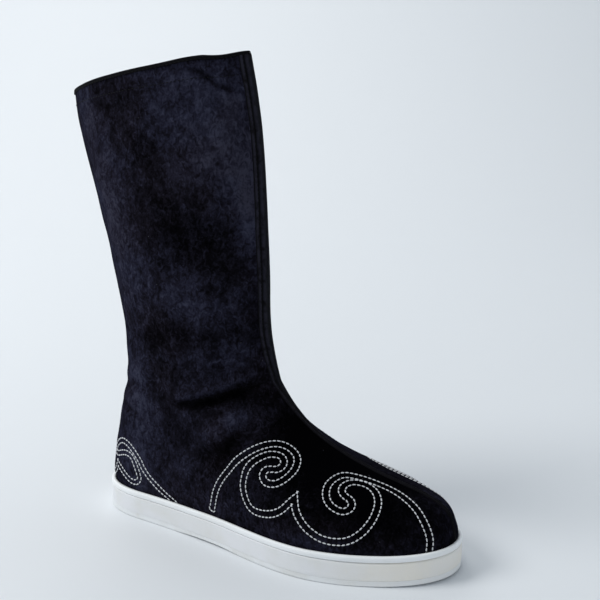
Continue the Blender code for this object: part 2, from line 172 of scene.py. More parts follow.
def seam_point(end, v):
    x = WELT_LEDGE + section(end + "_x", v) * FEATHER_LENGTH
    return np.array([x, height(section(end + "_h", v), end)])


print("front seam at the ankle, mm:", [round(float(p) / MM, 1) for p in seam_point("front", ANKLE_ROW)])

# %% One side of a section
SEAM_STEP = 0.02


def seam_offset(end, v, inset):
    """The seam's point moved inwards, square to the seam."""
    low, high = max(v - SEAM_STEP, 0), min(v + SEAM_STEP, COLLAR_ROW)
    along = seam_point(end, high) - seam_point(end, low)
    along /= np.hypot(*along)
    sign = 1 if end == "back" else -1
    return seam_point(end, v) + inset * sign * np.array([along[1], -along[0]])


def side_points(v, side, inset, s):
    """Points of one side of a section of the upper, in metres from the heel's tip."""
    back, front = seam_offset("back", v, inset), seam_offset("front", v, inset)
    line = back + s[:, None] * (front - back)
    own = sole_half_width(side, s)
    mean = (sole_half_width("outer", s) + sole_half_width("inner", s)) / 2
    shares = [section(name, v) for name in ("heel", "waist", "ball", "toe")]
    full = (mean + section("twist", v) * (own - mean)) * curve_through(SECTION_PLACES, shares, s)
    ends = rounded_end(s, section("back_len", v), section("back_pow", v))
    ends = ends * rounded_end(1 - s, section("front_len", v), section("front_pow", v))
    half = (full - WELT_LEDGE - inset) * ends
    step = (line[:, 1] - FEATHER_LINE) / (ANKLE_HEIGHT - FEATHER_LINE)
    lift = toe_spring(line[:, 0]) * np.clip(1 - step / SPRING_FADE, 0, 1)
    up_shaft = max(v - ANKLE_ROW, 0) / (COLLAR_ROW - ANKLE_ROW)
    lift = lift + COLLAR_CROWN * up_shaft ** 2 * 4 * s * (1 - s)
    return np.stack([line[:, 0], (-1 if side == "outer" else 1) * half, line[:, 1] + lift], axis=1)


ball_side = side_points(WELT_ROW, "outer", 0, np.array([SECTION_PLACES[2]]))[0]
print("outer half width over the ball, mm:", round(float(-ball_side[1] / MM), 1))

# %% [markdown]
# A shell is a grid of rings: each ring runs from the front seam along the outer side to the back seam and
# home along the inner side. The points are spaced by the length along the cloth, and closer at the back
# seam, where a groove needs them. The rings are spaced by the length up the side.

# %% Rings of the shell
SIDE_COLUMNS = 118
RINGS = 236
DENSE = 401
SIDE_MIDDLE = 0.45


def spaced_shares(count, crowd=0.72, reach=0.05):
    """Shares from 0 at the front seam to 1 at the back seam, closer together at the back."""
    w = np.linspace(0, 1, DENSE)
    density = 1 / (1 - crowd * np.exp(-(1 - w) / reach))
    run = np.concatenate([[0], np.cumsum((density[1:] + density[:-1]) / 2)])
    return np.interp(np.linspace(0, 1, count + 1), run / run[-1], w)


def stations(v, shares):
    """Places along a section whose distance along the cloth, from the front seam, has these shares."""
    s = 0.5 + 0.5 * np.cos(np.linspace(0, math.pi, DENSE))
    back, front = seam_point("back", v), seam_point("front", v)
    half = (np.abs(side_points(v, "outer", 0, s)[:, 1]) + np.abs(side_points(v, "inner", 0, s)[:, 1])) / 2
    run = np.hypot(np.diff(s) * np.hypot(*(front - back)), np.diff(half))
    arc = np.concatenate([[0], np.cumsum(run)])
    return np.interp(shares * arc[-1], arc, s)


def ring(v, inset, shares):
    """One closed ring: the outer side from front to back, then the inner side home."""
    s = stations(v, shares)
    outer, inner = side_points(v, "outer", inset, s), side_points(v, "inner", inset, s)
    return np.concatenate([outer, inner[-2:0:-1]]) - [HEEL_REST, 0, 0]


def levels_by_length(count, low=0.0, high=COLLAR_ROW):
    """Levels from low to high, evenly apart up the middle of the side."""
    v = np.linspace(low, high, DENSE)
    middle = np.array([side_points(u, "outer", 0, np.array([SIDE_MIDDLE]))[0] for u in v])
    run = np.concatenate([[0], np.cumsum(np.linalg.norm(np.diff(middle, axis=0), axis=1))])
    return np.interp(np.linspace(0, run[-1], count), run, v)


SHARES = spaced_shares(SIDE_COLUMNS)
LEVELS = levels_by_length(RINGS)
SHELL = np.array([ring(v, 0, SHARES) for v in LEVELS])
print("shell grid:", SHELL.shape)

# %% [markdown]
# On the real boot the velvet is soft, so it folds at the ankle and waves up the shaft. Each fold is given
# as a few points in millimetres from the heel's tip and from the floor, a width and a depth. A minus
# depth is a trough, and a second, smaller bell beside it lifts the edge that the cloth rolls over. Broad
# hollows and swellings between the folds are soft ellipses. Listing the folds one by one keeps every fold
# where the boot has it, which a cloth simulation wouldn't.

# %% Folds and hollows, listed one by one
FOLDS = {
    # depth mm, width mm, lip share, points (x, z) in mm
    "outer": (
        (-3.3, 3.6, 0.60, ((142, 121), (128, 111), (116, 106), (103, 102), (88, 98), (70, 92))),
        (1.6, 6.0, 0.00, ((134, 97), (125, 92), (112, 80), (104, 64))),
        (-1.8, 6.0, 0.20, ((146, 96), (136, 85), (127, 73), (122, 58))),
        (-1.9, 2.1, 0.60,
         ((84, 332), (92, 330), (98, 328.6), (103, 325.4), (109, 321.6), (115, 318), (121, 316), (128, 315))),
        (-0.7, 3.0, 0.50, ((104, 245), (118, 244), (131, 242))),
        (-1.3, 5.0, 0.30, ((10, 96), (24, 99), (46, 104), (66, 112))),
        (-0.9, 4.0, 0.30, ((12, 84), (30, 82), (48, 78))),
        (-0.6, 4.0, 0.20, ((-18, 296), (6, 303), (36, 305), (58, 312))),
    ),
    "inner": (
        (-2.8, 5.0, 0.50, ((140, 120), (124, 109), (106, 103), (84, 97), (60, 95))),
        (-1.3, 6.5, 0.25, ((146, 98), (132, 86), (120, 76), (108, 62))),
        (-1.2, 5.0, 0.30, ((10, 94), (26, 98), (48, 102))),
        (-0.9, 4.0, 0.40, ((112, 262), (96, 254), (74, 250))),
        (-1.0, 4.5, 0.30, ((0, 232), (22, 224), (44, 222))),
    ),
}
HOLLOWS = {
    # depth mm, centre x and z mm, half lengths mm along and across, turn in degrees
    "outer": (
        (-3.2, 108, 212, 34, 17, 12), (-2.2, 62, 262, 42, 17, -38), (-1.6, 34, 292, 26, 14, -20),
        (2.2, 118, 280, 34, 20, 80), (1.8, 34, 220, 60, 14, -68), (1.4, 96, 152, 40, 20, 20),
        (-1.4, 44, 140, 30, 16, -30),
    ),
    "inner": (
        (-2.4, 100, 232, 36, 18, -20), (-2.0, 58, 190, 34, 16, 24), (1.8, 60, 276, 40, 18, 40),
        (1.5, 108, 170, 36, 18, 65),
    ),
}


def distance_to_path(x, z, path):
    """Signed distance to a chain of points, and how far along the chain, from 0 to 1."""
    path = np.array(path, float)
    lengths = np.hypot(*np.diff(path, axis=0).T)
    starts = np.concatenate([[0], np.cumsum(lengths)])
    best = np.full(x.shape, 1e9)
    signed, along = np.zeros(x.shape), np.zeros(x.shape)
    for i, length in enumerate(lengths):
        (ax, az), (bx, bz) = path[i], path[i + 1]
        dx, dz = (bx - ax) / length, (bz - az) / length
        t = np.clip((x - ax) * dx + (z - az) * dz, 0, length)
        gap = np.hypot(x - ax - t * dx, z - az - t * dz)
        nearer = gap < best
        best = np.where(nearer, gap, best)
        side = np.sign((z - az) * dx - (x - ax) * dz)
        signed = np.where(nearer, gap * np.where(side == 0, 1, side), signed)
        along = np.where(nearer, (starts[i] + t) / starts[-1], along)
    return signed, along


print("folds:", len(FOLDS["outer"]), "on the outer side and", len(FOLDS["inner"]), "on the inner side")

# %% Relief of the folds and hollows
FOLD_FADES = 0.28, 0.34
LIP_AWAY = 1.7


def fold_relief(x, z, side):
    """How far the folds of one side push the cloth out, in mm; each fold fades at both ends."""
    total = np.zeros(x.shape)
    for depth, width, lip, path in FOLDS[side]:
        away, along = distance_to_path(x, z, path)
        upward = away * (1 if path[-1][0] > path[0][0] else -1)
        fade = ramp(along, 0.0, FOLD_FADES[0]) * ramp(1 - along, 0.0, FOLD_FADES[1])
        total += depth * fade * (bell(away, width) - lip * bell(upward - LIP_AWAY * width, width))
    return total


def ellipses(x, z, side, table, total=0.0):
    """Adds one side's soft ellipses: an amount, a centre, two half lengths and a turn."""
    total = np.full(x.shape, float(total))
    for amount, cx, cz, long, across, turn in table[side]:
        c, s = math.cos(math.radians(turn)), math.sin(math.radians(turn))
        u, w = (x - cx) * c + (z - cz) * s, (z - cz) * c - (x - cx) * s
        total += amount * np.exp(-(u / long) ** 2 - (w / across) ** 2)
    return total


# %% Put the folds on the shell
BACK_COLUMN = SIDE_COLUMNS
is_outer = np.arange(SHELL.shape[1]) <= BACK_COLUMN
mm = (SHELL + [HEEL_REST, 0, 0]) / MM


def by_side(make):
    """Values for the whole grid from a function of (x mm, z mm, side)."""
    x, z = mm[..., 0], mm[..., 2]
    return np.where(is_outer[None, :], make(x, z, "outer"), make(x, z, "inner"))


fold_part = by_side(fold_relief)
relief = fold_part + by_side(lambda x, z, side: ellipses(x, z, side, HOLLOWS))
print("folds alone, mm:", round(float(fold_part.min()), 2), "to", round(float(fold_part.max()), 2))

# %% Distances round from the seams
edge_steps = np.linalg.norm(np.diff(SHELL, axis=1, append=SHELL[:, :1]), axis=2) / MM
arc = np.concatenate([np.zeros((len(SHELL), 1)), np.cumsum(edge_steps, axis=1)[:, :-1]], axis=1)
from_back = np.abs(arc - arc[:, BACK_COLUMN:BACK_COLUMN + 1])
from_front = np.minimum(arc, arc[:, -1:] + edge_steps[:, -1:] - arc)
print("half way round the collar, mm:", round(float(from_front[-1].max()), 1))


# %% Normals and soft noise on a grid
def grid_normals(grid):
    """Outward normals of a grid of closed rings."""
    around = np.roll(grid, -1, axis=1) - np.roll(grid, 1, axis=1)
    up = np.gradient(grid, axis=0)
    normal = np.cross(up, around)
    normal /= np.linalg.norm(normal, axis=2, keepdims=True) + 1e-12
    centre = grid.mean(axis=1, keepdims=True)
    return normal * np.sign(np.sum(normal * (grid - centre), axis=(1, 2), keepdims=True))


def wobble(grid, size, seed):
    """Soft noise, the same on every run, with features of the given size in metres."""
    flat = grid.reshape(-1, 3) / size
    shift = Vector((seed, 2.3 * seed, 5.1 * seed))
    return np.array([noise.noise(Vector(p) + shift) for p in flat]).reshape(grid.shape[:2])


NORMALS = grid_normals(SHELL)
print("normals:", NORMALS.shape)

# %% [markdown]
# Between the folds the cloth waves a little everywhere, more on the loose shaft than on the foot. It lies
# still along the strip, the back seam and the sole, where it is sewn or held. The back seam itself is a fine
# groove between two swollen edges, and the cloth bulges just above the sole.

# %% Waves, back seam and foot bulge
LONG_WAVE, SHORT_WAVE = (0.7, 0.034, 3), (0.22, 0.011, 8)  # height mm, length m, seed
FOOT_WAVES = 0.25
STILL_FRONT, STILL_BACK = (0.85, 13), (0.5, 8)  # share, width mm
STILL_SOLE, SHAFT_RISE, SEAM_RISE = (24, 50), (90, 150), (22, 30)  # from and to, mm up
SEAM_EDGE, SEAM_GROOVE = (0.45, 2.6, 1.5), (0.9, 1.0)  # height, distance from the seam, width, mm
FOOT_BULGE = (0.35, 25.5, 3.0)  # height, place up the foot, width, mm
up_mm = mm[..., 2]
shaft = ramp(up_mm, *SHAFT_RISE)
quiet_seams = 1 - STILL_FRONT[0] * bell(from_front, STILL_FRONT[1])
quiet_seams -= STILL_BACK[0] * bell(from_back, STILL_BACK[1])
waves = LONG_WAVE[0] * wobble(SHELL, *LONG_WAVE[1:]) * (FOOT_WAVES + (1 - FOOT_WAVES) * shaft)
waves = waves + SHORT_WAVE[0] * wobble(SHELL, *SHORT_WAVE[1:])
relief = (relief + waves) * quiet_seams * ramp(up_mm, *STILL_SOLE)
seam = SEAM_EDGE[0] * bell(from_back - SEAM_EDGE[1], SEAM_EDGE[2])
seam -= SEAM_GROOVE[0] * bell(from_back, SEAM_GROOVE[1])
relief += seam * ramp(up_mm, *SEAM_RISE)
relief += FOOT_BULGE[0] * bell(up_mm - FOOT_BULGE[1] - toe_spring(mm[..., 0] * MM) / MM, FOOT_BULGE[2])
RELIEF = relief * MM
print("relief, mm:", round(float(relief.min()), 2), "to", round(float(relief.max()), 2))

# %% [markdown]
# The collar isn't ruled straight either. Where the cloth turns over at the top it rises and dips by a
# millimetre or so, and this moves the top few rings up and down.

# %% A slightly wavy collar
COLLAR_WAVES = ((0.9, 92, 16), (-1.1, 110, 9), (0.6, 10, 22))  # height, place along the collar and width, mm
INNER_WAVE = -0.7
WAVE_RISE, WAVE_ROWS, WAVE_STILL = (292, 336), 2.0, 10  # mm up, rows below the edge, mm from a seam


def collar_wave(x, z, side):
    """How far the collar's edge rises, in mm; the inner side waves the other way."""
    lift = sum(rise * bell(x - place, width) for rise, place, width in COLLAR_WAVES)
    return lift * (1.0 if side == "outer" else INNER_WAVE)


top_fade = ramp(up_mm, *WAVE_RISE) * ramp(LEVELS, COLLAR_ROW - WAVE_ROWS, COLLAR_ROW)[:, None]
still = (1 - bell(from_front, WAVE_STILL)) * (1 - bell(from_back, WAVE_STILL))
WAVE = by_side(collar_wave) * top_fade * still * MM
VELVET = SHELL + NORMALS * RELIEF[..., None]
VELVET[..., 2] += WAVE
FINE_NORMALS = grid_normals(VELVET)
print("collar wave, mm:", round(float(WAVE.min() / MM), 2), "to", round(float(WAVE.max() / MM), 2))

# %% [markdown]
# Every soft piece and every layer of the sole is a stack of rings, so one helper joins rings to a mesh. It
# also gives the mesh a cloth map: metres round and metres up, which the weave of a cloth follows later.

# %% A mesh from rings
def placed(name, data):
    """A new object with this mesh, lamp or camera, in the scene."""
    piece = bpy.data.objects.new(name, data)
    bpy.context.collection.objects.link(piece)
    return piece


def ring_faces(rows, count, closed):
    """Four-sided faces between neighbouring rings; a closed stack joins its last ring to its first."""
    faces = []
    for k in range(rows if closed else rows - 1):
        a, b = k * count, ((k + 1) % rows) * count
        faces += [(a + i, a + (i + 1) % count, b + (i + 1) % count, b + i) for i in range(count)]
    return faces


def shell_object(name, rings, closed=True):
    """A mesh piece made of rings of points, with a cloth map in metres round and up."""
    rings = np.asarray(rings)
    rows, count = rings.shape[:2]
    mesh = bpy.data.meshes.new(name)
    mesh.from_pydata(rings.reshape(-1, 3).tolist(), [], ring_faces(rows, count, closed))
    across = np.linalg.norm(np.diff(rings, axis=1, append=rings[:, :1]), axis=2)
    u = np.concatenate([np.zeros((rows, 1)), np.cumsum(across, axis=1)], axis=1)
    u -= u[:, -1:] / 2
    up = np.linalg.norm(np.diff(rings, axis=0), axis=2).mean(axis=1)
    v = np.concatenate([[0], np.cumsum(up), [np.sum(up)]])
    layer = mesh.uv_layers.new(name="Cloth")
    coords = []
    for k in range(rows if closed else rows - 1):
        j = (k + 1) % rows
        for i in range(count):
            coords += [(u[k, i], v[k]), (u[k, i + 1], v[k]), (u[j, i + 1], v[k + 1]), (u[j, i], v[k + 1])]
    layer.data.foreach_set("uv", np.array(coords).ravel())
    mesh.shade_smooth()
    piece = placed(name, mesh)
    face_outwards(piece)
    return piece


def face_outwards(piece):
    """Turns every face of a closed mesh out, by the sign of its volume."""
    mesh = piece.data
    mesh.calc_loop_triangles()
    points = np.empty(len(mesh.vertices) * 3)
    mesh.vertices.foreach_get("co", points)
    points = points.reshape(-1, 3)
    corners = np.empty(len(mesh.loop_triangles) * 3, dtype=np.int32)
    mesh.loop_triangles.foreach_get("vertices", corners)
    a, b, c = points[corners.reshape(-1, 3)].transpose(1, 0, 2)
    if np.sum(a * np.cross(b, c)) < 0:
        mesh.flip_normals()


def triangles(piece):
    return sum(len(face.vertices) - 2 for face in piece.data.polygons)


print("faces between two rings:", len(ring_faces(2, SHELL.shape[1], False)))

# %% [markdown]
# The velvet is one wall: its fine outside, the turned edge at the collar and a plainer inside, which the
# lining hides. It takes the place of the CAD upper, with the same outline and the folds added.

# %% Rings inside the velvet
VELVET_WALL = 1.3 * MM
CLEAR_REACH = 2


def level_row(v):
    """The row of the grid at a level, with a fraction."""
    return float(np.interp(v, LEVELS, np.arange(RINGS)))


def between_rows(grid, row):
    """The ring at a row with a fraction."""
    low = min(int(row), RINGS - 2)
    share = row - low
    return grid[low] * (1 - share) + grid[low + 1] * share


def lowest_near(values, reach):
    """The lowest value within a few rows and columns, so that a lining clears every fold."""
    low = values.copy()
    for _ in range(reach):
        low = np.minimum(low, np.minimum(np.roll(low, 1, axis=1), np.roll(low, -1, axis=1)))
        low[1:] = np.minimum(low[1:], low[:-1])
        low[:-1] = np.minimum(low[:-1], low[1:])
    return low


INNER_RELIEF = lowest_near(RELIEF, CLEAR_REACH)


def inner_rings(count, depth, top=1.0):
    """Rings inside the velvet, depth below the lowest cloth nearby, up to a share of the collar's level."""
    rings = []
    for v in levels_by_length(count, 0.0, COLLAR_ROW * top):
        row = level_row(v)
        push = between_rows(INNER_RELIEF, row) - depth
        points = between_rows(SHELL, row) + between_rows(NORMALS, row) * push[:, None]
        points[:, 2] += between_rows(WAVE, row)
        rings.append(points)
    return np.array(rings)


print("deepest cloth, mm:", round(float(INNER_RELIEF.min() / MM), 2))

# %% The velvet
INSIDE_RINGS = 60
velvet_inside = inner_rings(INSIDE_RINGS, VELVET_WALL)[::-1]
velvet = shell_object("velvet_upper", np.concatenate([VELVET, velvet_inside]))
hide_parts("upper")
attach(velvet, "root")
print("velvet:", triangles(velvet), "triangles")

# %% [markdown]
# Later pieces lie on the velvet: the strip, the seams and the stitches. So one helper finds the place on the
# cloth at a level of the shell and at a distance round from the front or the back seam.

# %% A place on the cloth
def on_cloth(v, seam, side, gaps):
    """Points and normals on the velvet at level v, at these distances (m) round from a seam."""
    row = level_row(v)
    points, normals = between_rows(VELVET, row), between_rows(FINE_NORMALS, row)
    order = np.arange(BACK_COLUMN + 1)
    if side == "inner":
        order = (len(points) - order) % len(points)
    if seam == "back":
        order = order[::-1]
    points, normals = points[order], normals[order]
    run = np.concatenate([[0], np.cumsum(np.linalg.norm(np.diff(points, axis=0), axis=1))])
    spot = np.stack([np.interp(gaps, run, points[:, k]) for k in range(3)], axis=-1)
    normal = np.stack([np.interp(gaps, run, normals[:, k]) for k in range(3)], axis=-1)
    return spot, normal / np.linalg.norm(normal, axis=-1, keepdims=True)


collar_front = on_cloth(COLLAR_ROW, "front", "outer", np.array([0.0]))[0][0]
print("top of the front seam, mm:", [round(float(p) / MM, 1) for p in collar_front])

# %% [markdown]
# The lining is a cotton cloth glued to the velvet. It shows inside the collar and down the shaft, so its
# inner face follows the same folds, one cloth's thickness further in.

# %% The lining
LINING_OUT, LINING_IN = 1.5 * MM, 2.4 * MM
LINING_TOP = 0.9985
LINING_RINGS, BACKING_RINGS = 130, 40
lining = shell_object("lining", np.concatenate([
    inner_rings(LINING_RINGS, LINING_IN, LINING_TOP)[:, ::2],
    inner_rings(BACKING_RINGS, LINING_OUT, LINING_TOP)[::-1, ::2]]))
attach(lining, "root")
print("lining:", triangles(lining), "triangles")

# %% [markdown]
# The collar is bound: a narrow black strip is folded over the raw edges of velvet and lining and sewn down.
# It is a ring with a U-shaped section, laid on the top of the velvet, so it follows the waves of the edge.

# %% The collar binding
BINDING_SECTION = (
    # outwards, upwards from the collar's edge, mm
    (0.10, -1.7), (0.42, -1.9), (0.68, -1.65), (0.66, -1.2), (0.76, -0.6), (0.70, 0.1), (0.40, 0.66),
    (-0.35, 1.00), (-1.20, 1.12), (-2.05, 1.00), (-2.85, 0.62), (-3.20, -0.1), (-3.26, -1.2), (-3.12, -2.2),
    (-3.15, -2.9), (-2.85, -3.2), (-2.50, -3.0), (-2.50, 0.10), (0.10, 0.10),
)
PUCKER, PUCKER_SIZE = 0.10, 4 * MM


def edge_frame():
    """The collar's edge, with the ways out of and up along the cloth at each of its points."""
    top, below = VELVET[-1], VELVET[-9]
    up = top - below
    up /= np.linalg.norm(up, axis=1, keepdims=True)
    out = FINE_NORMALS[-3]
    out = out - np.sum(out * up, axis=1, keepdims=True) * up
    return top, out / np.linalg.norm(out, axis=1, keepdims=True), up


edge_top, edge_out, edge_up = edge_frame()
pucker = 1 + PUCKER * np.array([noise.noise(Vector(p) / PUCKER_SIZE) for p in edge_top])[:, None]
binding_rings = [edge_top + edge_out * (o * MM) * pucker + edge_up * (u * MM) for o, u in BINDING_SECTION]
binding = shell_object("binding_cloth_edge", binding_rings)
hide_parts("collar_binding")
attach(binding, "root")
print("binding:", triangles(binding), "triangles")

# %% [markdown]
# A strip of plain black cloth covers the front seam from the collar to the toe. On the shaft it is wide and
# lies flat, with a raised bead along each edge and a stitched groove beside it. Over the foot it narrows to a
# ridge of two beads. Its section is a row of points across, each lifted from the velvet by a few soft bells.

# %% The front strip
STRIP_SHAFT, STRIP_VAMP = 8.4, 1.8
STRIP_POINTS = 25
STRIP_SINK = -0.35
STRIP_LEVELS = 300
front_rise = seam_point("front", WELT_ROW + 1)[1] - WELT_TOP
STRIP_LOW = WELT_ROW + 0.6 * MM / front_rise
STRIP_HIGH = COLLAR_ROW - 1.5 / 29
SEAM_BLEND = 1.6
# Painted highlight on the strip's raised crests: it starts at this lift in mm, grows over this rise, and is
# weaker on the vamp.
HIGHLIGHT_FROM, HIGHLIGHT_OVER, VAMP_HIGHLIGHT = 0.35, 0.8, 0.15


def strip_half_width(v):
    return (STRIP_VAMP + section("strip", v) * (STRIP_SHAFT - STRIP_VAMP)) * MM


def strip_lift(gap_mm, half_mm, wide):
    """Height of the strip over the velvet, in mm, from the seam (0) to its edge.

    Each bell has a height, a distance in from the edge and a width, in mm; wide is 1 on the shaft.
    """
    edge = half_mm - gap_mm
    flat = 0.75 * np.sqrt(np.clip(edge / 0.5, 0, 1)) - 0.15
    first_bead = (0.35 + 0.25 * wide) * bell(edge - 0.9 - 0.7 * wide, 0.55 + 0.35 * wide)
    groove = -0.55 * wide * bell(edge - 3.3, 0.42)
    second_bead = 0.50 * wide * bell(edge - 5.3, 1.2)
    seam = -0.55 * bell(gap_mm, 0.40)
    return flat + first_bead + groove + second_bead + seam


print("strip, mm from seam to edge:", [round(float(strip_half_width(v)) / MM, 1) for v in (0, COLLAR_ROW)])

# %% Rings across the strip
strip_rings, strip_highlight = [], []
for v in np.linspace(STRIP_LOW, STRIP_HIGH, STRIP_LEVELS):
    half = float(strip_half_width(v))
    wide = float(section("strip", v))
    gaps = np.sin(np.linspace(0, math.pi / 2, STRIP_POINTS)) * half
    lift = strip_lift(gaps / MM, half / MM, wide) * MM
    outer_side, outer_normal = on_cloth(v, "front", "outer", gaps)
    inner_side, inner_normal = on_cloth(v, "front", "inner", gaps)
    seam_normal = outer_normal[0] + inner_normal[0]
    length = np.linalg.norm(seam_normal)
    blend = (1 - ramp(gaps / MM, 0, SEAM_BLEND))[:, None]
    outer_normal = outer_normal * (1 - blend) + seam_normal * blend / length
    inner_normal = inner_normal * (1 - blend) + seam_normal * blend / length
    top = np.concatenate([(outer_side + outer_normal * lift[:, None])[::-1],
                          (inner_side + inner_normal * lift[:, None])[1:]])
    floor = [inner_side[-1] + inner_normal[-1] * STRIP_SINK * MM,
             inner_side[0] + seam_normal / length * STRIP_SINK * MM,
             outer_side[-1] + outer_normal[-1] * STRIP_SINK * MM]
    strip_rings.append(np.concatenate([top, floor]))
    # Painted highlight: the higher the strip stands over the velvet, the paler its crest.
    crown = np.clip((lift / MM - HIGHLIGHT_FROM) / HIGHLIGHT_OVER, 0, 1) * (VAMP_HIGHLIGHT + (1 - VAMP_HIGHLIGHT) * wide)
    strip_highlight.append(np.concatenate([crown[::-1], crown[1:], [0, 0, 0]]))
print("rings across the strip:", len(strip_rings))


# %% The strip as a piece
def add_faces(piece, add):
    """Adds faces with add(the mesh's points, the mesh's faces), and turns all of them outwards."""
    shape = bmesh.new()
    shape.from_mesh(piece.data)
    shape.verts.ensure_lookup_table()
    add(shape.verts, shape.faces)
    bmesh.ops.recalc_face_normals(shape, faces=shape.faces)
    shape.to_mesh(piece.data)
    shape.free()


def cap_ends(piece, count, rows):
    """Closes both ends of an open stack of rings with one face each."""
    def caps(points, faces):
        faces.new([points[i] for i in range(count)][::-1])
        faces.new([points[(rows - 1) * count + i] for i in range(count)])

    add_faces(piece, caps)


strip = shell_object("seam_strip", strip_rings, closed=False)
cap_ends(strip, len(strip_rings[0]), len(strip_rings))
layer = strip.data.attributes.new("crown", "FLOAT", "POINT")
layer.data.foreach_set("value", np.array(strip_highlight, dtype=np.float32).ravel())
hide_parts("front_strip")
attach(strip, "root")
print("strip:", triangles(strip), "triangles")

# %% [markdown]
# The sole is moulded: a thin tread, an off-white sidewall with a shallow groove near its top, and a bright
# rolled lip that grips the foot of the velvet. Each is a stack of outlines, moved in or out by a profile
# in millimetres, so the round edges are real and catch the light.

# %% Outlines of the sole
SOLE_COLUMNS = 180
SOLE_SHARES = stations(0, np.linspace(0, 1, SOLE_COLUMNS + 1))
TOE_BLEND = 0.190, 0.250


def sole_ring(inset, z_of_x):
    """One outline of the sole, moved in by inset (m), at a height that depends on x."""
    x = inset + SOLE_SHARES * (SOLE_LENGTH - 2 * inset)
    outer, inner = (sign * (sole_half_width(side, SOLE_SHARES) - inset) * sole_ends(SOLE_SHARES)
                    for side, sign in (("outer", -1), ("inner", 1)))
    sides = [np.stack([x - HEEL_REST, y, z_of_x(x)], axis=1) for y in (outer, inner)]
    return np.concatenate([sides[0], sides[1][-2:0:-1]])


def underside(x):
    along, arch = zip(*UNDERSIDE)
    return toe_spring(x) + ARCH_RISE * curve_through(along, arch, x / SOLE_LENGTH)


def profile_rings(profile):
    """Outlines for (inset mm, height mm) or (inset, height, inset at the toe), with the toe spring."""
    at_toe = ramp(SOLE_SHARES * SOLE_LENGTH, *TOE_BLEND)
    rings = []
    for inset, z, *toe in profile:
        blend = inset + ((toe[0] if toe else inset) - inset) * at_toe
        rings.append(sole_ring(blend * MM, lambda x, z=z: z * MM + toe_spring(x)))
    return rings


def arc_profile(centre, radius, start, end, steps):
    """Points of a round edge: (inset, height) from one angle to another, in degrees."""
    angles = np.radians(np.linspace(start, end, steps))
    return [(centre[0] - radius * math.cos(a), centre[1] + radius * math.sin(a)) for a in angles]


print("points round the sole:", len(sole_ring(0.0, toe_spring)))

# %% The rolled lip
LIP_LOW, LIP_HIGH = 17.2, 21.4
lip_profile = [(2.7, LIP_LOW), (1.0, LIP_LOW)]
lip_profile += arc_profile((0.45, LIP_LOW + 0.50), 0.50, -90, 0, 5)
lip_profile += [(-0.12, LIP_LOW + 1.3), (-0.20, LIP_LOW + 2.1), (-0.14, LIP_LOW + 2.8)]
lip_profile += arc_profile((1.05, LIP_HIGH - 1.15), 1.15, 0, 90, 7)[1:]
lip_profile += [(1.8, LIP_HIGH - 0.05), (2.4, LIP_HIGH - 0.35), (2.75, LIP_HIGH - 0.9)]
lip = shell_object("rolled_lip", profile_rings(lip_profile))
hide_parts("welt")
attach(lip, "root")
print("lip:", triangles(lip), "triangles")

# %% [markdown]
# The sidewall is the thick white band that is seen under the lip. It stands upright, has a crisp lower edge
# over the tread, and rolls in under the lip with a shallow step that is deeper at the toe.

# %% The sidewall
def capped_stack(name, rings):
    """A solid of outlines, closed under and over by rungs from side to side."""
    piece = shell_object(name, rings, closed=False)
    count, half = len(rings[0]), len(rings[0]) // 2

    def rungs(points, faces):
        for base in (0, (len(rings) - 1) * count):
            corner = [points[base + i] for i in range(count)]
            faces.new((corner[0], corner[1], corner[-1]))
            for i in range(1, half - 1):
                faces.new((corner[i], corner[i + 1], corner[count - i - 1], corner[count - i]))
            faces.new((corner[half - 1], corner[half], corner[half + 1]))

    add_faces(piece, rungs)
    return piece


SIDE_SHARP, TREAD_SHARP = 50, 35
SIDE_LOW, SIDE_HIGH = 3.9, 17.05
side_profile = [(1.0, SIDE_LOW), (0.16, SIDE_LOW), (0.05, SIDE_LOW + 0.06), (0.01, SIDE_LOW + 0.25)]
side_profile += [(-0.02, SIDE_LOW + 1.4), (-0.05, 8.0), (0.0, 11.0), (0.02, 13.6)]
side_profile += [(0.05, 15.0), (0.06, 15.9, 0.10), (0.14, 16.35, 0.55), (0.40, 16.65, 1.25)]
side_profile += [(0.95, 16.8, 1.55)]
side_profile += [(1.45, SIDE_HIGH)]
sidewall = capped_stack("sidewall", profile_rings(side_profile))
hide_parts("midsole")
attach(sidewall, "root")
sidewall.data.set_sharp_from_angle(angle=math.radians(SIDE_SHARP))
print("sidewall:", triangles(sidewall), "triangles")

# %% [markdown]
# The tread is the thin layer that meets the floor. Its underside is flat at heel and ball and arched between
# them, and cross grooves under heel and ball give it grip. A Boolean cuts the grooves, because each is a
# plain block taken out of a curved layer.

# %% The tread's layer
TREAD_HIGH = 3.9
TREAD_BELOW = ((2.6, 0.0), (0.9, 0.0), (0.28, 0.06), (0.04, 0.40))  # inset and height, mm
TREAD_ABOVE = ((0.02, 1.25), (0.14, 1.75), (0.05, 2.9), (0.02, 3.6), (0.07, TREAD_HIGH - 0.06),
               (0.9, TREAD_HIGH - 0.03))


def tread_rings():
    """Outlines that follow the arch below, and the toe spring alone above."""
    return [sole_ring(inset * MM, lambda x, z=z, floor=floor: z * MM + floor(x))
            for table, floor in ((TREAD_BELOW, underside), (TREAD_ABOVE, toe_spring)) for inset, z in table]


def baked_mesh(piece):
    """The plain mesh that a piece's modifiers give."""
    bpy.context.view_layer.update()
    return bpy.data.meshes.new_from_object(piece.evaluated_get(bpy.context.evaluated_depsgraph_get()))


print("outlines of the tread:", len(tread_rings()))

# %% Blocks that cut the grooves
TREAD_STRETCHES = ((0.05, 0.23), (0.53, 0.84))
TREAD_PITCH, TREAD_GAP, TREAD_DEPTH, TREAD_MARGIN = 11.0, 3.0, 1.4, 8.0
BLOCK_FACES = ((0, 2, 3, 1), (4, 5, 7, 6), (0, 1, 5, 4), (2, 6, 7, 3), (0, 4, 6, 2), (1, 3, 7, 5))


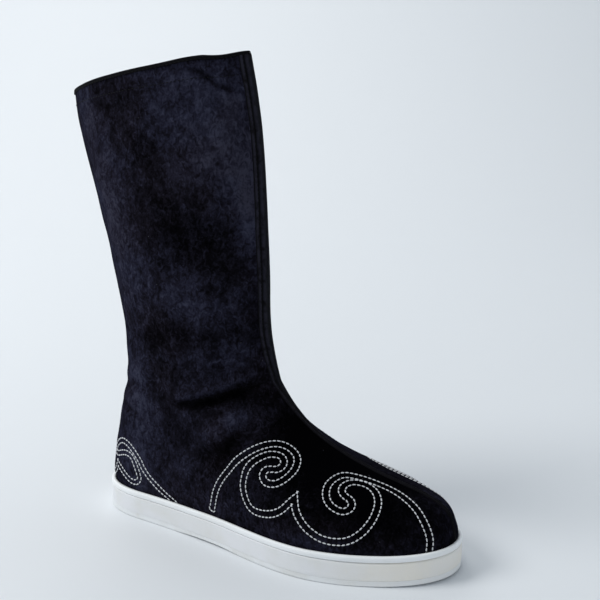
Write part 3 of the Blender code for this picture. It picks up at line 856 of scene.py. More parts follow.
def groove_blocks():
    """One mesh of blocks, a pitch apart, across the stretches under the heel and the ball."""
    points, faces = [], []
    for start, end in TREAD_STRETCHES:
        middle = (start + end) / 2 * SOLE_LENGTH / MM
        half_count = int((end - start) / 2 * SOLE_LENGTH / MM / TREAD_PITCH)
        for i in range(-half_count, half_count):
            place = middle + (i + 0.5) * TREAD_PITCH
            share = place * MM / SOLE_LENGTH
            reach = [sign * (sole_half_width(side, share) * sole_ends(share) / MM - TREAD_MARGIN)
                     for side, sign in (("outer", -1), ("inner", 1))]
            first = len(points)
            points += [((place + x * TREAD_GAP / 2) * MM - HEEL_REST, y * MM, z * TREAD_DEPTH * MM)
                       for z in (-1, 1) for y in reach for x in (-1, 1)]
            faces += [tuple(first + c for c in face) for face in BLOCK_FACES]
    mesh = bpy.data.meshes.new("groove_cutter")
    mesh.from_pydata(np.array(points, float).tolist(), [], faces)
    cutter = placed("groove_cutter", mesh)
    face_outwards(cutter)
    print("grooves:", len(faces) // len(BLOCK_FACES))
    return cutter


def cut_grooves(tread, cutter):
    """Takes the blocks out of the tread and keeps the result as its plain mesh."""
    cut = tread.modifiers.new("grooves", "BOOLEAN")
    cut.operation, cut.solver, cut.object = "DIFFERENCE", "EXACT", cutter
    grooved = baked_mesh(tread)
    tread.modifiers.clear()
    tread.data = grooved
    grooved.name = "tread"
    grooved.set_sharp_from_angle(angle=math.radians(TREAD_SHARP))
    bpy.data.objects.remove(cutter)


# %% The tread
tread = capped_stack("tread", tread_rings())
cut_grooves(tread, groove_blocks())
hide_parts("outsole")
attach(tread, "root")
print("tread:", triangles(tread), "triangles")

# %% [markdown]
# Inside lies a thin insole, a board covered in cotton. Its edge is a little raised, because the cloth turns
# over there, and the middle dips where the foot presses it.

# %% The insole
INSOLE_PROFILE = (
    # in from the sole's edge, above the floor, mm
    (5.75, 17.25), (5.65, 18.9), (5.9, 19.5), (6.6, 19.85), (8.0, 19.9), (11.0, 19.6), (15.0, 19.2),
    (20.0, 18.95),
)
insole = capped_stack("insole_pad", profile_rings(INSOLE_PROFILE))
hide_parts("insole")
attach(insole, "root")
print("insole:", triangles(insole), "triangles")

# %% [markdown]
# The boot's ornament is a cloud scroll, an old and common pattern. A machine sews it in silver thread as a
# ribbon: two lines of stitches side by side. Each scroll is charted here by a few points in millimetres, on a
# flat board that leans against the foot, so that the points can be read like a paper pattern. A smooth curve
# runs through the points, and each place on the board is carried straight on to the velvet.

# %% The pattern of the foot
BOARD_LEAN = math.radians(35)
BOARD_LIFT, BOARD_AWAY = 25 * MM, 0.30
FOOT_CURL = (
    # along the foot from the heel, up the board, mm; from the sole to the cusp
    (114.5, 21.0), (118.5, 33.0), (123.5, 41.5), (131.5, 50.5), (140.0, 58.5), (147.0, 66.5), (152.5, 71.5),
    (158.0, 74.3), (164.0, 74.7), (170.3, 72.2), (174.8, 67.5), (176.6, 61.0), (176.0, 55.5), (173.8, 50.2),
    (169.5, 46.0), (164.0, 45.0), (160.2, 46.7), (158.5, 50.0), (159.6, 53.6), (163.0, 55.2), (166.6, 56.2),
    (168.4, 59.8), (167.4, 63.8), (164.0, 66.3), (159.4, 66.1), (155.0, 63.8), (149.5, 57.5), (145.5, 50.5),
    (143.8, 43.5), (144.8, 37.5), (148.5, 31.0), (153.0, 26.8), (158.5, 25.1), (165.5, 24.9), (172.7, 26.2),
    (178.5, 29.5), (182.5, 34.3), (185.6, 39.0),
)
TOE_CURL = (
    # from the cusp to the sole at the toe
    (185.6, 39.0), (189.3, 31.4), (193.2, 26.6), (198.0, 22.5), (203.5, 19.7), (209.5, 18.0), (216.8, 18.1),
    (224.7, 20.3), (230.8, 24.7), (235.5, 31.0), (238.2, 38.5), (238.2, 46.5), (236.2, 53.2), (231.8, 58.7),
    (225.4, 62.0), (219.0, 62.5), (214.0, 61.0), (211.4, 57.2), (211.8, 53.4), (214.8, 50.4), (218.8, 48.8),
    (221.8, 46.3), (222.4, 42.3), (219.6, 39.2), (215.0, 39.0), (208.8, 41.6), (204.2, 47.0), (202.0, 54.0),
    (203.2, 60.6), (207.0, 65.1), (213.0, 66.5), (222.5, 66.5), (232.0, 65.4), (241.5, 63.5), (251.0, 60.0),
    (260.2, 54.7), (267.3, 47.8), (271.5, 41.2), (273.2, 35.5), (273.0, 29.3),
)
print("points of the foot's pattern:", len(FOOT_CURL) + len(TOE_CURL))

# %% A search tree of the velvet
velvet_tree = BVHTree.FromPolygons(
    [Vector(p) for p in VELVET.reshape(-1, 3).tolist()],
    ring_faces(RINGS, VELVET.shape[1], False))


def grid_spot(place, face):
    """The row and column, with fractions, of a place on a face of the velvet's grid."""
    row, column = divmod(face, VELVET.shape[1])
    corner = VELVET[row, column]
    round_edge = VELVET[row, (column + 1) % VELVET.shape[1]] - corner
    up_edge = VELVET[row + 1, column] - corner
    edges = np.stack([up_edge, round_edge], axis=1)
    up_share, round_share = np.linalg.lstsq(edges, np.array(place) - corner, rcond=None)[0]
    return row + float(up_share), column + float(round_share)


def cloth_at(row, column):
    """The place and the normal on the velvet at a row and column with fractions."""
    r, c = min(max(int(row), 0), RINGS - 2), math.floor(column)
    t, w = row - r, column - c
    count = VELVET.shape[1]
    found = []
    for grid in (VELVET, FINE_NORMALS):
        low = grid[r, c % count] * (1 - w) + grid[r, (c + 1) % count] * w
        high = grid[r + 1, c % count] * (1 - w) + grid[r + 1, (c + 1) % count] * w
        found.append(low * (1 - t) + high * t)
    return found[0], found[1] / np.linalg.norm(found[1])


crest = velvet_tree.find_nearest(Vector((0.15, 0, 0.08)))
print("row and column on the instep:", [round(float(k), 1) for k in grid_spot(crest[0], crest[2])])

# %% From the board to the cloth and back
UP_BOARD = Vector((0, math.sin(BOARD_LEAN), math.cos(BOARD_LEAN)))
OUT_BOARD = Vector((0, -math.cos(BOARD_LEAN), math.sin(BOARD_LEAN)))
INNER_DROP = 6.0
DROP_FROM, DROP_TO = 20, 60


def own_side(column, side):
    """A column of the outer side, or its mirror column on the inner side."""
    return column if side == "outer" else VELVET.shape[1] - column


def board_to_cloth(point, side):
    """A point (along, up) in mm on the board, carried to the outer side or mirrored to the inner one."""
    if side == "inner":
        point = (point[0], point[1] - INNER_DROP * float(ramp(point[1], DROP_FROM, DROP_TO)))
    start = Vector((point[0] * MM - HEEL_REST, 0, 0)) + UP_BOARD * (point[1] * MM - BOARD_LIFT)
    place, _, face, _ = velvet_tree.ray_cast(start + OUT_BOARD * BOARD_AWAY, -OUT_BOARD)
    row, column = grid_spot(place, face)
    return cloth_at(row, own_side(column, side))


def cloth_to_board(place, side):
    """The way back: a place near the cloth as a point on the board, in mm."""
    found, _, face, _ = velvet_tree.find_nearest(Vector(place))
    row, column = grid_spot(found, face)
    outer = cloth_at(row, own_side(column, side))[0]
    up = (outer @ np.array(UP_BOARD) + BOARD_LIFT) / MM
    if side == "inner":
        up += INNER_DROP * float(ramp(up, DROP_FROM - INNER_DROP, DROP_TO - INNER_DROP))
    return np.array([(outer[0] + HEEL_REST) / MM, up])


there = board_to_cloth(TOE_CURL[0], "outer")[0]
print("cusp on the board:", TOE_CURL[0], "and back again:", np.round(cloth_to_board(there, "outer"), 1))

# %% [markdown]
# A ribbon has two edges. Its middle runs through the chart's points, and each edge lies half a ribbon to the
# side, measured on the cloth and not on the board, so a ribbon stays equally wide where the foot curves away.
# Where two ribbons meet in a cusp, their edges are cut or run on until they touch.

# %% Smooth lines and ribbons
def smooth_line(points, step=0.6):
    """A curve with no corners through all the points, with a place every step of their unit."""
    points = np.array(points, float)
    padded = np.vstack([2 * points[0] - points[1], points, 2 * points[-1] - points[-2]])
    places = []
    for a, b, c, d in zip(padded, padded[1:], padded[2:], padded[3:]):
        pieces = max(2, int(np.linalg.norm(c - b) / step))
        for t in np.arange(pieces) / pieces:
            places.append(0.5 * (2 * b + (c - a) * t + (2 * a - 5 * b + 4 * c - d) * t ** 2
                                 + (3 * b - a - 3 * c + d) * t ** 3))
    return np.array(places + [points[-1]])


def ribbon_edges(chart, to_cloth, to_chart, half):
    """Both edges of a ribbon along a chart, as chart points; half is half its width on the cloth."""
    spots = [to_cloth(p) for p in chart]
    places = np.array([s[0] for s in spots])
    normals = np.array([s[1] for s in spots])
    along = np.gradient(places, axis=0)
    sideways = np.cross(normals, along)
    sideways /= np.linalg.norm(sideways, axis=1, keepdims=True)
    return [np.array([to_chart(p) for p in places + sideways * half * sign]) for sign in (1, -1)]


print("points along the curl of the foot:", len(smooth_line(FOOT_CURL)))

# %% A corner where two lines meet
CORNER_REACH = 40


def meet(first, second):
    """Joins two lines at a corner: cut where they cross, or run on until they meet."""
    for i in range(len(first) - 2, max(len(first) - CORNER_REACH, 0), -1):
        for j in range(0, min(CORNER_REACH, len(second) - 1)):
            p, r = first[i], first[i + 1] - first[i]
            q, s = second[j], second[j + 1] - second[j]
            turn = r[0] * s[1] - r[1] * s[0]
            if abs(turn) < 1e-12:
                continue
            t = ((q - p)[0] * s[1] - (q - p)[1] * s[0]) / turn
            w = ((q - p)[0] * r[1] - (q - p)[1] * r[0]) / turn
            if 0 <= t <= 1 and 0 <= w <= 1:
                corner = p + t * r
                return np.vstack([first[:i + 1], corner]), np.vstack([corner, second[j + 1:]])
    r = first[-1] - first[-4]
    s = second[0] - second[3]
    turn = r[0] * s[1] - r[1] * s[0]
    t = ((second[0] - first[-1])[0] * s[1] - (second[0] - first[-1])[1] * s[0]) / turn
    corner = first[-1] + t * r
    return np.vstack([first, corner]), np.vstack([corner, second])


# %% The foot's ribbon on both sides
RIBBON_HALF = 2.3 * MM
START_BAR = 6
thread_lines = []


def thread_line(chart, to_cloth):
    """Keeps a line of stitches: places just above the cloth, and the cloth's normals there."""
    spots = [to_cloth(p) for p in chart]
    thread_lines.append((np.array([s[0] for s in spots]), np.array([s[1] for s in spots])))


for side in ("outer", "inner"):
    to_cloth, to_board = partial(board_to_cloth, side=side), partial(cloth_to_board, side=side)
    curl = ribbon_edges(smooth_line(FOOT_CURL), to_cloth, to_board, RIBBON_HALF)
    toe = ribbon_edges(smooth_line(TOE_CURL), to_cloth, to_board, RIBBON_HALF)
    starts = []
    for first, second in zip(curl, toe):
        first, second = meet(first, second)
        starts.append(first)
        thread_line(second, to_cloth)
    bar = np.linspace(starts[0][0], starts[1][0], START_BAR)[1:-1]
    thread_line(np.vstack([starts[0][::-1], bar, starts[1]]), to_cloth)
print("lines on the foot:", len(thread_lines))

# %% [markdown]
# A smaller pair of curls sits on the heel, one on each side of the back seam. Its chart is the cloth itself:
# the distance round from the back seam, and the height above the floor.

# %% The pattern of the heel
HEEL_CURL = (
    # round from the back seam, above the floor, mm; from the sole over the top and back to the cusp
    (92.0, 20.0), (85.0, 24.0), (78.5, 27.6), (72.0, 31.4), (65.5, 35.6), (60.0, 40.4), (55.5, 45.2),
    (50.8, 49.4), (45.2, 52.8), (39.4, 55.2), (33.6, 55.9), (28.6, 54.2), (24.8, 50.6), (23.2, 47.0),
    (24.6, 44.4), (28.0, 44.0), (32.0, 45.4), (36.6, 47.2), (41.6, 47.9), (46.4, 46.6), (50.2, 43.2),
    (53.4, 39.0), (56.4, 34.6), (57.6, 31.0), (55.8, 28.2), (51.8, 27.3), (47.8, 28.2), (43.8, 30.2),
    (39.6, 32.4), (35.4, 34.4), (30.4, 36.2),
)
HEEL_VALLEY = (
    # from the cusp to the back seam
    (30.4, 36.2), (29.0, 32.0), (25.8, 28.8), (20.5, 25.8), (13.0, 23.9), (5.0, 23.3), (0.0, 23.3),
)
HEEL_HALF = 1.8 * MM
HEEL_LOW = 21.6
HEEL_TOP_LEVEL, HALVINGS = 8.0, 24


def heel_to_cloth(point, side):
    """The place and normal on the velvet of a point (round, up) in mm; a minus round is the other side."""
    if point[0] < 0:
        side, point = ("inner" if side == "outer" else "outer"), (-point[0], point[1])
    low, high = 0.0, HEEL_TOP_LEVEL
    for _ in range(HALVINGS):
        middle = (low + high) / 2
        place, normal = on_cloth(middle, "back", side, np.array([point[0] * MM]))
        if place[0, 2] < point[1] * MM:
            low = middle
        else:
            high = middle
    return place[0], normal[0]


def cloth_to_heel(place, side):
    """The way back: a place near the cloth as (round from the back seam, up), in mm."""
    found, _, face, _ = velvet_tree.find_nearest(Vector(place))
    row, column = grid_spot(found, face)
    r, c = min(max(int(row), 0), RINGS - 1), math.floor(column)
    signed = arc[r] - arc[r, BACK_COLUMN]
    gap = signed[c] * (c + 1 - column) + signed[(c + 1) % len(signed)] * (column - c)
    return np.array([gap * (-1 if side == "outer" else 1), found[2] / MM])


print("top of the heel's curl, mm:", np.round(heel_to_cloth(HEEL_CURL[10], "outer")[0] / MM, 1))

# %% The heel's ribbon on both sides
for side in ("outer", "inner"):
    to_cloth, to_chart = partial(heel_to_cloth, side=side), partial(cloth_to_heel, side=side)
    curl = ribbon_edges(smooth_line(HEEL_CURL), to_cloth, to_chart, HEEL_HALF)
    valley = ribbon_edges(smooth_line(HEEL_VALLEY), to_cloth, to_chart, HEEL_HALF)
    for first, second in zip(curl, valley):
        first, second = meet(first, second)
        thread_line(first[first[:, 1] > HEEL_LOW], to_cloth)
        thread_line(second, to_cloth)
print("lines with the heel:", len(thread_lines))

# %% [markdown]
# Stitches repeat along a line, so Geometry Nodes lay them: the line is cut into equal steps, and a small
# flattened bead of thread is put on each, turned along the line and flat on the cloth. A fixed seed gives
# each bead its own small turn, as a machine's stitches have.

# %% Inputs of the tree that lays stitches
STITCH_INPUTS = (("Pitch", 3.2), ("Stitch Length", 2.6), ("Width", 0.9), ("Thickness", 0.7))  # mm
TURN = 0.05
BEAD = {"Segments": 8, "Rings": 5, "Radius": 0.5}


def stitch_inputs(face):
    """Names the tree's inputs, with starting sizes in metres, and its one output."""
    face.new_socket("Lines", in_out="INPUT", socket_type="NodeSocketGeometry")
    for label, value in [(label, size * MM) for label, size in STITCH_INPUTS] + [("Turn", TURN)]:
        socket = face.new_socket(label, in_out="INPUT", socket_type="NodeSocketFloat")
        socket.default_value = value
    face.new_socket("Seed", in_out="INPUT", socket_type="NodeSocketInt")
    face.new_socket("Thread", in_out="INPUT", socket_type="NodeSocketMaterial")
    face.new_socket("Stitches", in_out="OUTPUT", socket_type="NodeSocketGeometry")


print("sizes of a stitch:", [label for label, size in STITCH_INPUTS])

# %% Nodes of the tree
STITCH_NODES = {
    "given": "NodeGroupInput", "out": "NodeGroupOutput",
    "curve": "GeometryNodeMeshToCurve", "steps": "GeometryNodeResampleCurve",
    "along": "GeometryNodeInputTangent", "normal": "GeometryNodeInputNamedAttribute",
    "lie": "FunctionNodeAlignRotationToVector", "stand": "FunctionNodeAlignRotationToVector",
    "less": "ShaderNodeMath", "chance": "FunctionNodeRandomValue", "angles": "ShaderNodeCombineXYZ",
    "spin": "FunctionNodeRotateRotation", "bead": "GeometryNodeMeshUVSphere",
    "smooth": "GeometryNodeSetShadeSmooth", "shape": "ShaderNodeCombineXYZ",
    "lay": "GeometryNodeInstanceOnPoints", "real": "GeometryNodeRealizeInstances",
    "dye": "GeometryNodeSetMaterial",
}
STITCH_LINKS = (
    # the line is cut into steps
    ("given", "Lines", "curve", "Mesh"), ("curve", "Curve", "steps", "Curve"),
    ("given", "Pitch", "steps", "Length"),
    # each bead lies along the line, flat on the cloth, and is turned a little by chance
    ("along", "Tangent", "lie", "Vector"), ("lie", "Rotation", "stand", "Rotation"),
    ("normal", "Attribute", "stand", "Vector"), ("given", "Turn", "less", 0), ("less", 0, "chance", 2),
    ("given", "Turn", "chance", 3), ("given", "Seed", "chance", "Seed"), ("chance", 1, "angles", "Z"),
    ("stand", "Rotation", "spin", "Rotation"), ("angles", "Vector", "spin", "Rotate By"),
    # the bead gets its size and its place
    ("given", "Stitch Length", "shape", "X"), ("given", "Width", "shape", "Y"),
    ("given", "Thickness", "shape", "Z"),
    ("bead", "Mesh", "smooth", "Geometry"), ("smooth", "Geometry", "lay", "Instance"),
    ("steps", "Curve", "lay", "Points"), ("spin", "Rotation", "lay", "Rotation"),
    ("shape", "Vector", "lay", "Scale"),
    # the beads become a plain mesh of thread
    ("lay", "Instances", "real", "Geometry"), ("real", "Geometry", "dye", "Geometry"),
    ("given", "Thread", "dye", "Material"), ("dye", "Geometry", "out", "Stitches"),
)


def stitch_tree():
    tree = bpy.data.node_groups.new("lay_stitches", "GeometryNodeTree")
    stitch_inputs(tree.interface)
    node = {name: tree.nodes.new(kind) for name, kind in STITCH_NODES.items()}
    node["steps"].mode = "LENGTH"
    node["normal"].data_type = "FLOAT_VECTOR"
    node["normal"].inputs["Name"].default_value = "cloth_normal"
    node["lie"].axis, node["stand"].axis, node["stand"].pivot_axis = "X", "Z", "X"
    node["less"].operation = "MULTIPLY"
    node["less"].inputs[1].default_value = -1.0
    node["chance"].data_type = "FLOAT"
    node["spin"].rotation_space = "LOCAL"
    for label, value in BEAD.items():
        node["bead"].inputs[label].default_value = value
    for source, output, target, entry in STITCH_LINKS:
        tree.links.new(node[source].outputs[output], node[target].inputs[entry])
    return tree


STITCH_TREE = stitch_tree()
print("nodes that lay stitches:", len(STITCH_TREE.nodes))

# %% Lay stitches along lines
def lay_stitches(name, lines, thread, sizes, lift, seed):
    """One plain mesh of stitches along lines of (places, normals); sizes are mm by the inputs' names."""
    places, normals, edges = [], [], []
    for line, normal in lines:
        first = len(places)
        places += (line + normal * lift * MM).tolist()
        normals += normal.tolist()
        edges += [(first + i, first + i + 1) for i in range(len(line) - 1)]
    mesh = bpy.data.meshes.new(name + "_lines")
    mesh.from_pydata(places, edges, [])
    layer = mesh.attributes.new("cloth_normal", "FLOAT_VECTOR", "POINT")
    layer.data.foreach_set("vector", np.array(normals, dtype=np.float32).ravel())
    guide = placed(name + "_lines", mesh)
    modifier = guide.modifiers.new("stitches", "NODES")
    modifier.node_group = STITCH_TREE
    named = {item.name: item.identifier for item in STITCH_TREE.interface.items_tree
             if item.in_out == "INPUT"}
    for label, size in sizes.items():
        modifier[named[label]] = size * MM
    modifier[named["Seed"]] = seed
    modifier[named["Thread"]] = thread
    baked = baked_mesh(guide)
    bpy.data.objects.remove(guide)
    piece = placed(name, baked)
    baked.name = name
    print(name, "-", triangles(piece), "triangles")
    return piece


# %% [markdown]
# The ornament's thread is silver-grey and slightly shiny, and the construction thread is black and dull. Both
# are so thin in the picture that one even colour is enough.

# %% Silver stitches
SILVER = {"Pitch": 3.2, "Stitch Length": 2.85, "Width": 1.0, "Thickness": 0.8}
SILVER_LIFT, SILVER_SEED = 0.12, 7


def plain_material(name, colour, roughness):
    """A material with only its Principled shader set; the nodes come later."""
    material = bpy.data.materials.new(name)
    material.use_nodes = True
    shader = material.node_tree.nodes["Principled BSDF"]
    shader.inputs["Base Color"].default_value = (*colour, 1)
    shader.inputs["Roughness"].default_value = roughness
    return material


silver_thread = plain_material("silver_thread", (0.60, 0.61, 0.63), 0.45)
silver = lay_stitches("silver_stitches", thread_lines, silver_thread, SILVER, SILVER_LIFT, SILVER_SEED)
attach(silver, "root")

# %% [markdown]
# The strip and the binding are sewn down with black thread, and so is the hem under the collar. It is hard to
# see from afar, but it gives the edges their small regular bites. The lines follow the cloth at fixed
# distances from the seams.

# %% Black seams
BLACK = {"Pitch": 2.9, "Stitch Length": 2.1, "Width": 0.55, "Thickness": 0.45}
BLACK_LIFT, BLACK_SEED = 0.05, 11
STRIP_SEAM_IN, STRIP_SEAM_LOW, STRIP_SEAM_HIGH, STRIP_SEAM_POINTS = 2.45, 10.7, COLLAR_ROW - 0.14, 160
HEM_DOWN = 12.0
BINDING_SEAM_OUT, BINDING_SEAM_UP = 0.66, -1.3


def strip_seam(side):
    """The line that sews down one edge of the strip on the shaft."""
    places, normals = [], []
    for v in np.linspace(STRIP_SEAM_LOW, STRIP_SEAM_HIGH, STRIP_SEAM_POINTS):
        half = float(strip_half_width(v))
        gap = np.array([half - STRIP_SEAM_IN * MM])
        place, normal = on_cloth(v, "front", side, gap)
        lift = strip_lift(gap / MM, half / MM, float(section("strip", v))) * MM
        places.append(place[0] + normal[0] * lift[0])
        normals.append(normal[0])
    return np.array(places), np.array(normals)


def hem_seam():
    """A line right round the shaft, below the collar's edge, from strip to strip."""
    run = np.linalg.norm(np.diff(VELVET[:, ::8], axis=0), axis=2).mean(axis=1)
    down = np.concatenate([np.cumsum(run[::-1])[::-1], [0]])
    row = float(np.interp(HEM_DOWN * MM, down[::-1], np.arange(RINGS)[::-1]))
    place, normal = between_rows(VELVET, row), between_rows(FINE_NORMALS, row)
    gap = int(np.searchsorted(from_front[int(row), :BACK_COLUMN], STRIP_SHAFT)) + 1
    return place[gap:len(place) - gap + 1], normal[gap:len(place) - gap + 1]


black_lines = [strip_seam("outer"), strip_seam("inner"), hem_seam()]
print("black lines on the shaft:", len(black_lines))

# %% Black stitches
black_thread = plain_material("black_thread", (0.0025, 0.0025, 0.003), 0.7)
black_thread.node_tree.nodes["Principled BSDF"].inputs["Specular IOR Level"].default_value = 0.1
bound = edge_top + edge_out * (BINDING_SEAM_OUT * MM) * pucker + edge_up * (BINDING_SEAM_UP * MM)
black_lines += [(np.vstack([bound, bound[:1]]), np.vstack([edge_out, edge_out[:1]]))]
black = lay_stitches("black_stitches", black_lines, black_thread, BLACK, BLACK_LIFT, BLACK_SEED)
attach(black, "root")

# %% [markdown]
# Now the finishes. Cloth and rubber share three effects, so each effect is one node group with its
# sizes as inputs: the grain of short fibres, the plain weave of a cloth, and soil with small scuffs. The
# groups give only masks, heights and colours; each material keeps its own Principled shader.

# %% Tools for node groups
def node_group(name, inputs, outputs):
    """A shader group with sockets from (label, kind, value); kinds are Float, Color and Vector."""
    group = bpy.data.node_groups.new(name, "ShaderNodeTree")
    for label, kind, value in inputs:
        socket = group.interface.new_socket(label, in_out="INPUT", socket_type="NodeSocket" + kind)
        if value is not None:
            socket.default_value = value
    for label, kind in outputs:
        group.interface.new_socket(label, in_out="OUTPUT", socket_type="NodeSocket" + kind)
    return group, group.nodes.new("NodeGroupInput"), group.nodes.new("NodeGroupOutput")


def feed(tree, value, socket):
    """Links a socket to another, or gives it a plain number or (r, g, b)."""
    if isinstance(value, bpy.types.NodeSocket):
        tree.links.new(value, socket)
    elif isinstance(value, tuple):
        socket.default_value = (*value, 1.0)
    elif value is not None:
        socket.default_value = value


def math_node(tree, kind, first, second=None, clamp=False):
    """A Math node; first and second are sockets or plain numbers. Returns its output."""
    node = tree.nodes.new("ShaderNodeMath")
    node.operation, node.use_clamp = kind, clamp
    for socket, value in zip(node.inputs, (first, second)):
        feed(tree, value, socket)
    return node.outputs[0]


print("helpers:", node_group.__name__, feed.__name__, math_node.__name__)

# %% Noise, mixing and spreading
def noise_node(tree, vector, size, detail=2.0, distortion=0.0):
    """Noise with features about as large as size, in metres. size is a number or a socket."""
    node = tree.nodes.new("ShaderNodeTexNoise")
    tree.links.new(vector, node.inputs["Vector"])
    wired = isinstance(size, bpy.types.NodeSocket)
    feed(tree, math_node(tree, "DIVIDE", 1.0, size) if wired else 1 / size, node.inputs["Scale"])
    node.inputs["Detail"].default_value = detail
    node.inputs["Distortion"].default_value = distortion
    return node.outputs["Fac"]


def mix_colours(tree, share, first, second, kind="MIX"):
    """Mixes two colours; each is a socket or a plain (r, g, b)."""
    node = tree.nodes.new("ShaderNodeMix")
    node.data_type, node.blend_type = "RGBA", kind
    for entry, value in ((0, share), (6, first), (7, second)):
        feed(tree, value, node.inputs[entry])
    return node.outputs[2]


def spread(tree, value, low, high):
    """Stretches a value so that low becomes 0 and high becomes 1."""
    node = tree.nodes.new("ShaderNodeMapRange")
    node.interpolation_type = "SMOOTHSTEP"
    tree.links.new(value, node.inputs["Value"])
    node.inputs["From Min"].default_value = low
    node.inputs["From Max"].default_value = high
    return node.outputs["Result"]


print("helpers:", noise_node.__name__, mix_colours.__name__, spread.__name__)

# %% Places, groups and bumps in a material
SHEEN_ROUGHNESS = 0.35


def place_group(material, group, vector, **values):
    """Puts a shared effect into a material with its own values, and returns its outputs."""
    node = material.node_tree.nodes.new("ShaderNodeGroup")
    node.node_tree = group
    material.node_tree.links.new(vector, node.inputs["Vector"])
    for label, value in values.items():
        node.inputs[label.replace("_", " ")].default_value = value
    return node.outputs


def bump(tree, height, distance, strength=1.0):
    """Lets a height tilt the light on a material's surface."""
    node = tree.nodes.new("ShaderNodeBump")
    node.inputs["Distance"].default_value = distance
    node.inputs["Strength"].default_value = strength
    tree.links.new(height, node.inputs["Height"])
    tree.links.new(node.outputs["Normal"], tree.nodes["Principled BSDF"].inputs["Normal"])


def shader_of(material, sheen=0.0, tint=(1, 1, 1), gloss=0.5):
    """A material's shader, with its sheen and gloss set."""
    shader = material.node_tree.nodes["Principled BSDF"]
    shader.inputs["Sheen Weight"].default_value = sheen
    shader.inputs["Sheen Roughness"].default_value = SHEEN_ROUGHNESS
    shader.inputs["Sheen Tint"].default_value = (*tint, 1)
    shader.inputs["Specular IOR Level"].default_value = gloss
    return shader


def object_place(material):
    return material.node_tree.nodes.new("ShaderNodeTexCoord").outputs["Object"]


def cloth_place(material):
    node = material.node_tree.nodes.new("ShaderNodeUVMap")
    node.uv_map = "Cloth"
    return node.outputs["UV"]


def painted(material, name):
    """A value that is kept on the mesh's points."""
    node = material.node_tree.nodes.new("ShaderNodeAttribute")
    node.attribute_name = name
    return node.outputs["Fac"]


def dress(piece, material):
    piece.data.materials.clear()
    piece.data.materials.append(material)
    print(piece.name, "wears", material.name)


# %% Short fibres
def make_fibres():
    """Fine grain, larger clumps, and a height made of both."""
    group, given, out = node_group(
        "short_fibres",
        [("Vector", "Vector", None), ("Size", "Float", 0.0012), ("Clump Size", "Float", 0.006)],
        [("Grain", "Float"), ("Clumps", "Float"), ("Height", "Float")])
    grain = noise_node(group, given.outputs["Vector"], given.outputs["Size"], 3.0)
    clumps = noise_node(group, given.outputs["Vector"], given.outputs["Clump Size"], 3.0, 0.6)
    height = math_node(group, "ADD", math_node(group, "MULTIPLY", grain, 0.7),
                       math_node(group, "MULTIPLY", clumps, 0.3))
    for label, value in (("Grain", grain), ("Clumps", clumps), ("Height", height)):
        group.links.new(value, out.inputs[label])
    return group


FIBRES = make_fibres()
print("shared effect:", FIBRES.name)


# %% Plain weave
def make_weave():
    """Threads over and under each other; Thread is one thread's width in metres of the cloth map."""
    group, given, out = node_group(
        "plain_weave", [("Vector", "Vector", None), ("Thread", "Float", 0.0006)],
        [("Height", "Float"), ("Gaps", "Float")])
    axes = group.nodes.new("ShaderNodeSeparateXYZ")
    group.links.new(given.outputs["Vector"], axes.inputs[0])
    round_, rise = (math_node(group, "DIVIDE", axes.outputs[k], given.outputs["Thread"]) for k in (0, 1))
    arches = (math_node(group, "SINE", math_node(group, "MULTIPLY", a, math.pi)) for a in (round_, rise))
    crown = [math_node(group, "ABSOLUTE", arch) for arch in arches]
    turn = math_node(group, "ADD", math_node(group, "FLOOR", round_), math_node(group, "FLOOR", rise))
    over = math_node(group, "PINGPONG", turn, 1.0)
    warp = math_node(group, "MULTIPLY", crown[0], over)
    weft = math_node(group, "MULTIPLY", crown[1], math_node(group, "SUBTRACT", 1.0, over))
    height = math_node(group, "ADD", warp, weft)
    gaps = math_node(group, "SUBTRACT", 1.0, math_node(group, "MAXIMUM", crown[0], crown[1]), True)
    group.links.new(height, out.inputs["Height"])
    group.links.new(gaps, out.inputs["Gaps"])
    return group


WEAVE = make_weave()
print("shared effect:", WEAVE.name)


# %% Soil and small scuffs
def make_soil():
    """Soft patches and small specks that mix a clean colour with a soiled one."""
    group, given, out = node_group(
        "soil_and_scuffs",
        [("Vector", "Vector", None), ("Clean", "Color", (0.8, 0.8, 0.8, 1)),
         ("Soil", "Color", (0.3, 0.27, 0.2, 1)), ("Amount", "Float", 0.3),
         ("Patch Size", "Float", 0.02), ("Speck Size", "Float", 0.002)],
        [("Colour", "Color"), ("Mask", "Float"), ("Height", "Float")])
    patches = noise_node(group, given.outputs["Vector"], given.outputs["Patch Size"], 5.0, 0.4)
    specks = noise_node(group, given.outputs["Vector"], given.outputs["Speck Size"], 2.0)
    soft = spread(group, patches, 0.38, 0.72)
    small = spread(group, specks, 0.62, 0.78)
    both = math_node(group, "ADD", soft, math_node(group, "MULTIPLY", small, 0.5))
    mask = math_node(group, "MULTIPLY", both, given.outputs["Amount"], True)
    colour = mix_colours(group, mask, given.outputs["Clean"], given.outputs["Soil"])
    group.links.new(colour, out.inputs["Colour"])
    group.links.new(mask, out.inputs["Mask"])
    group.links.new(specks, out.inputs["Height"])
    return group


SOIL = make_soil()
print("shared effect:", SOIL.name)
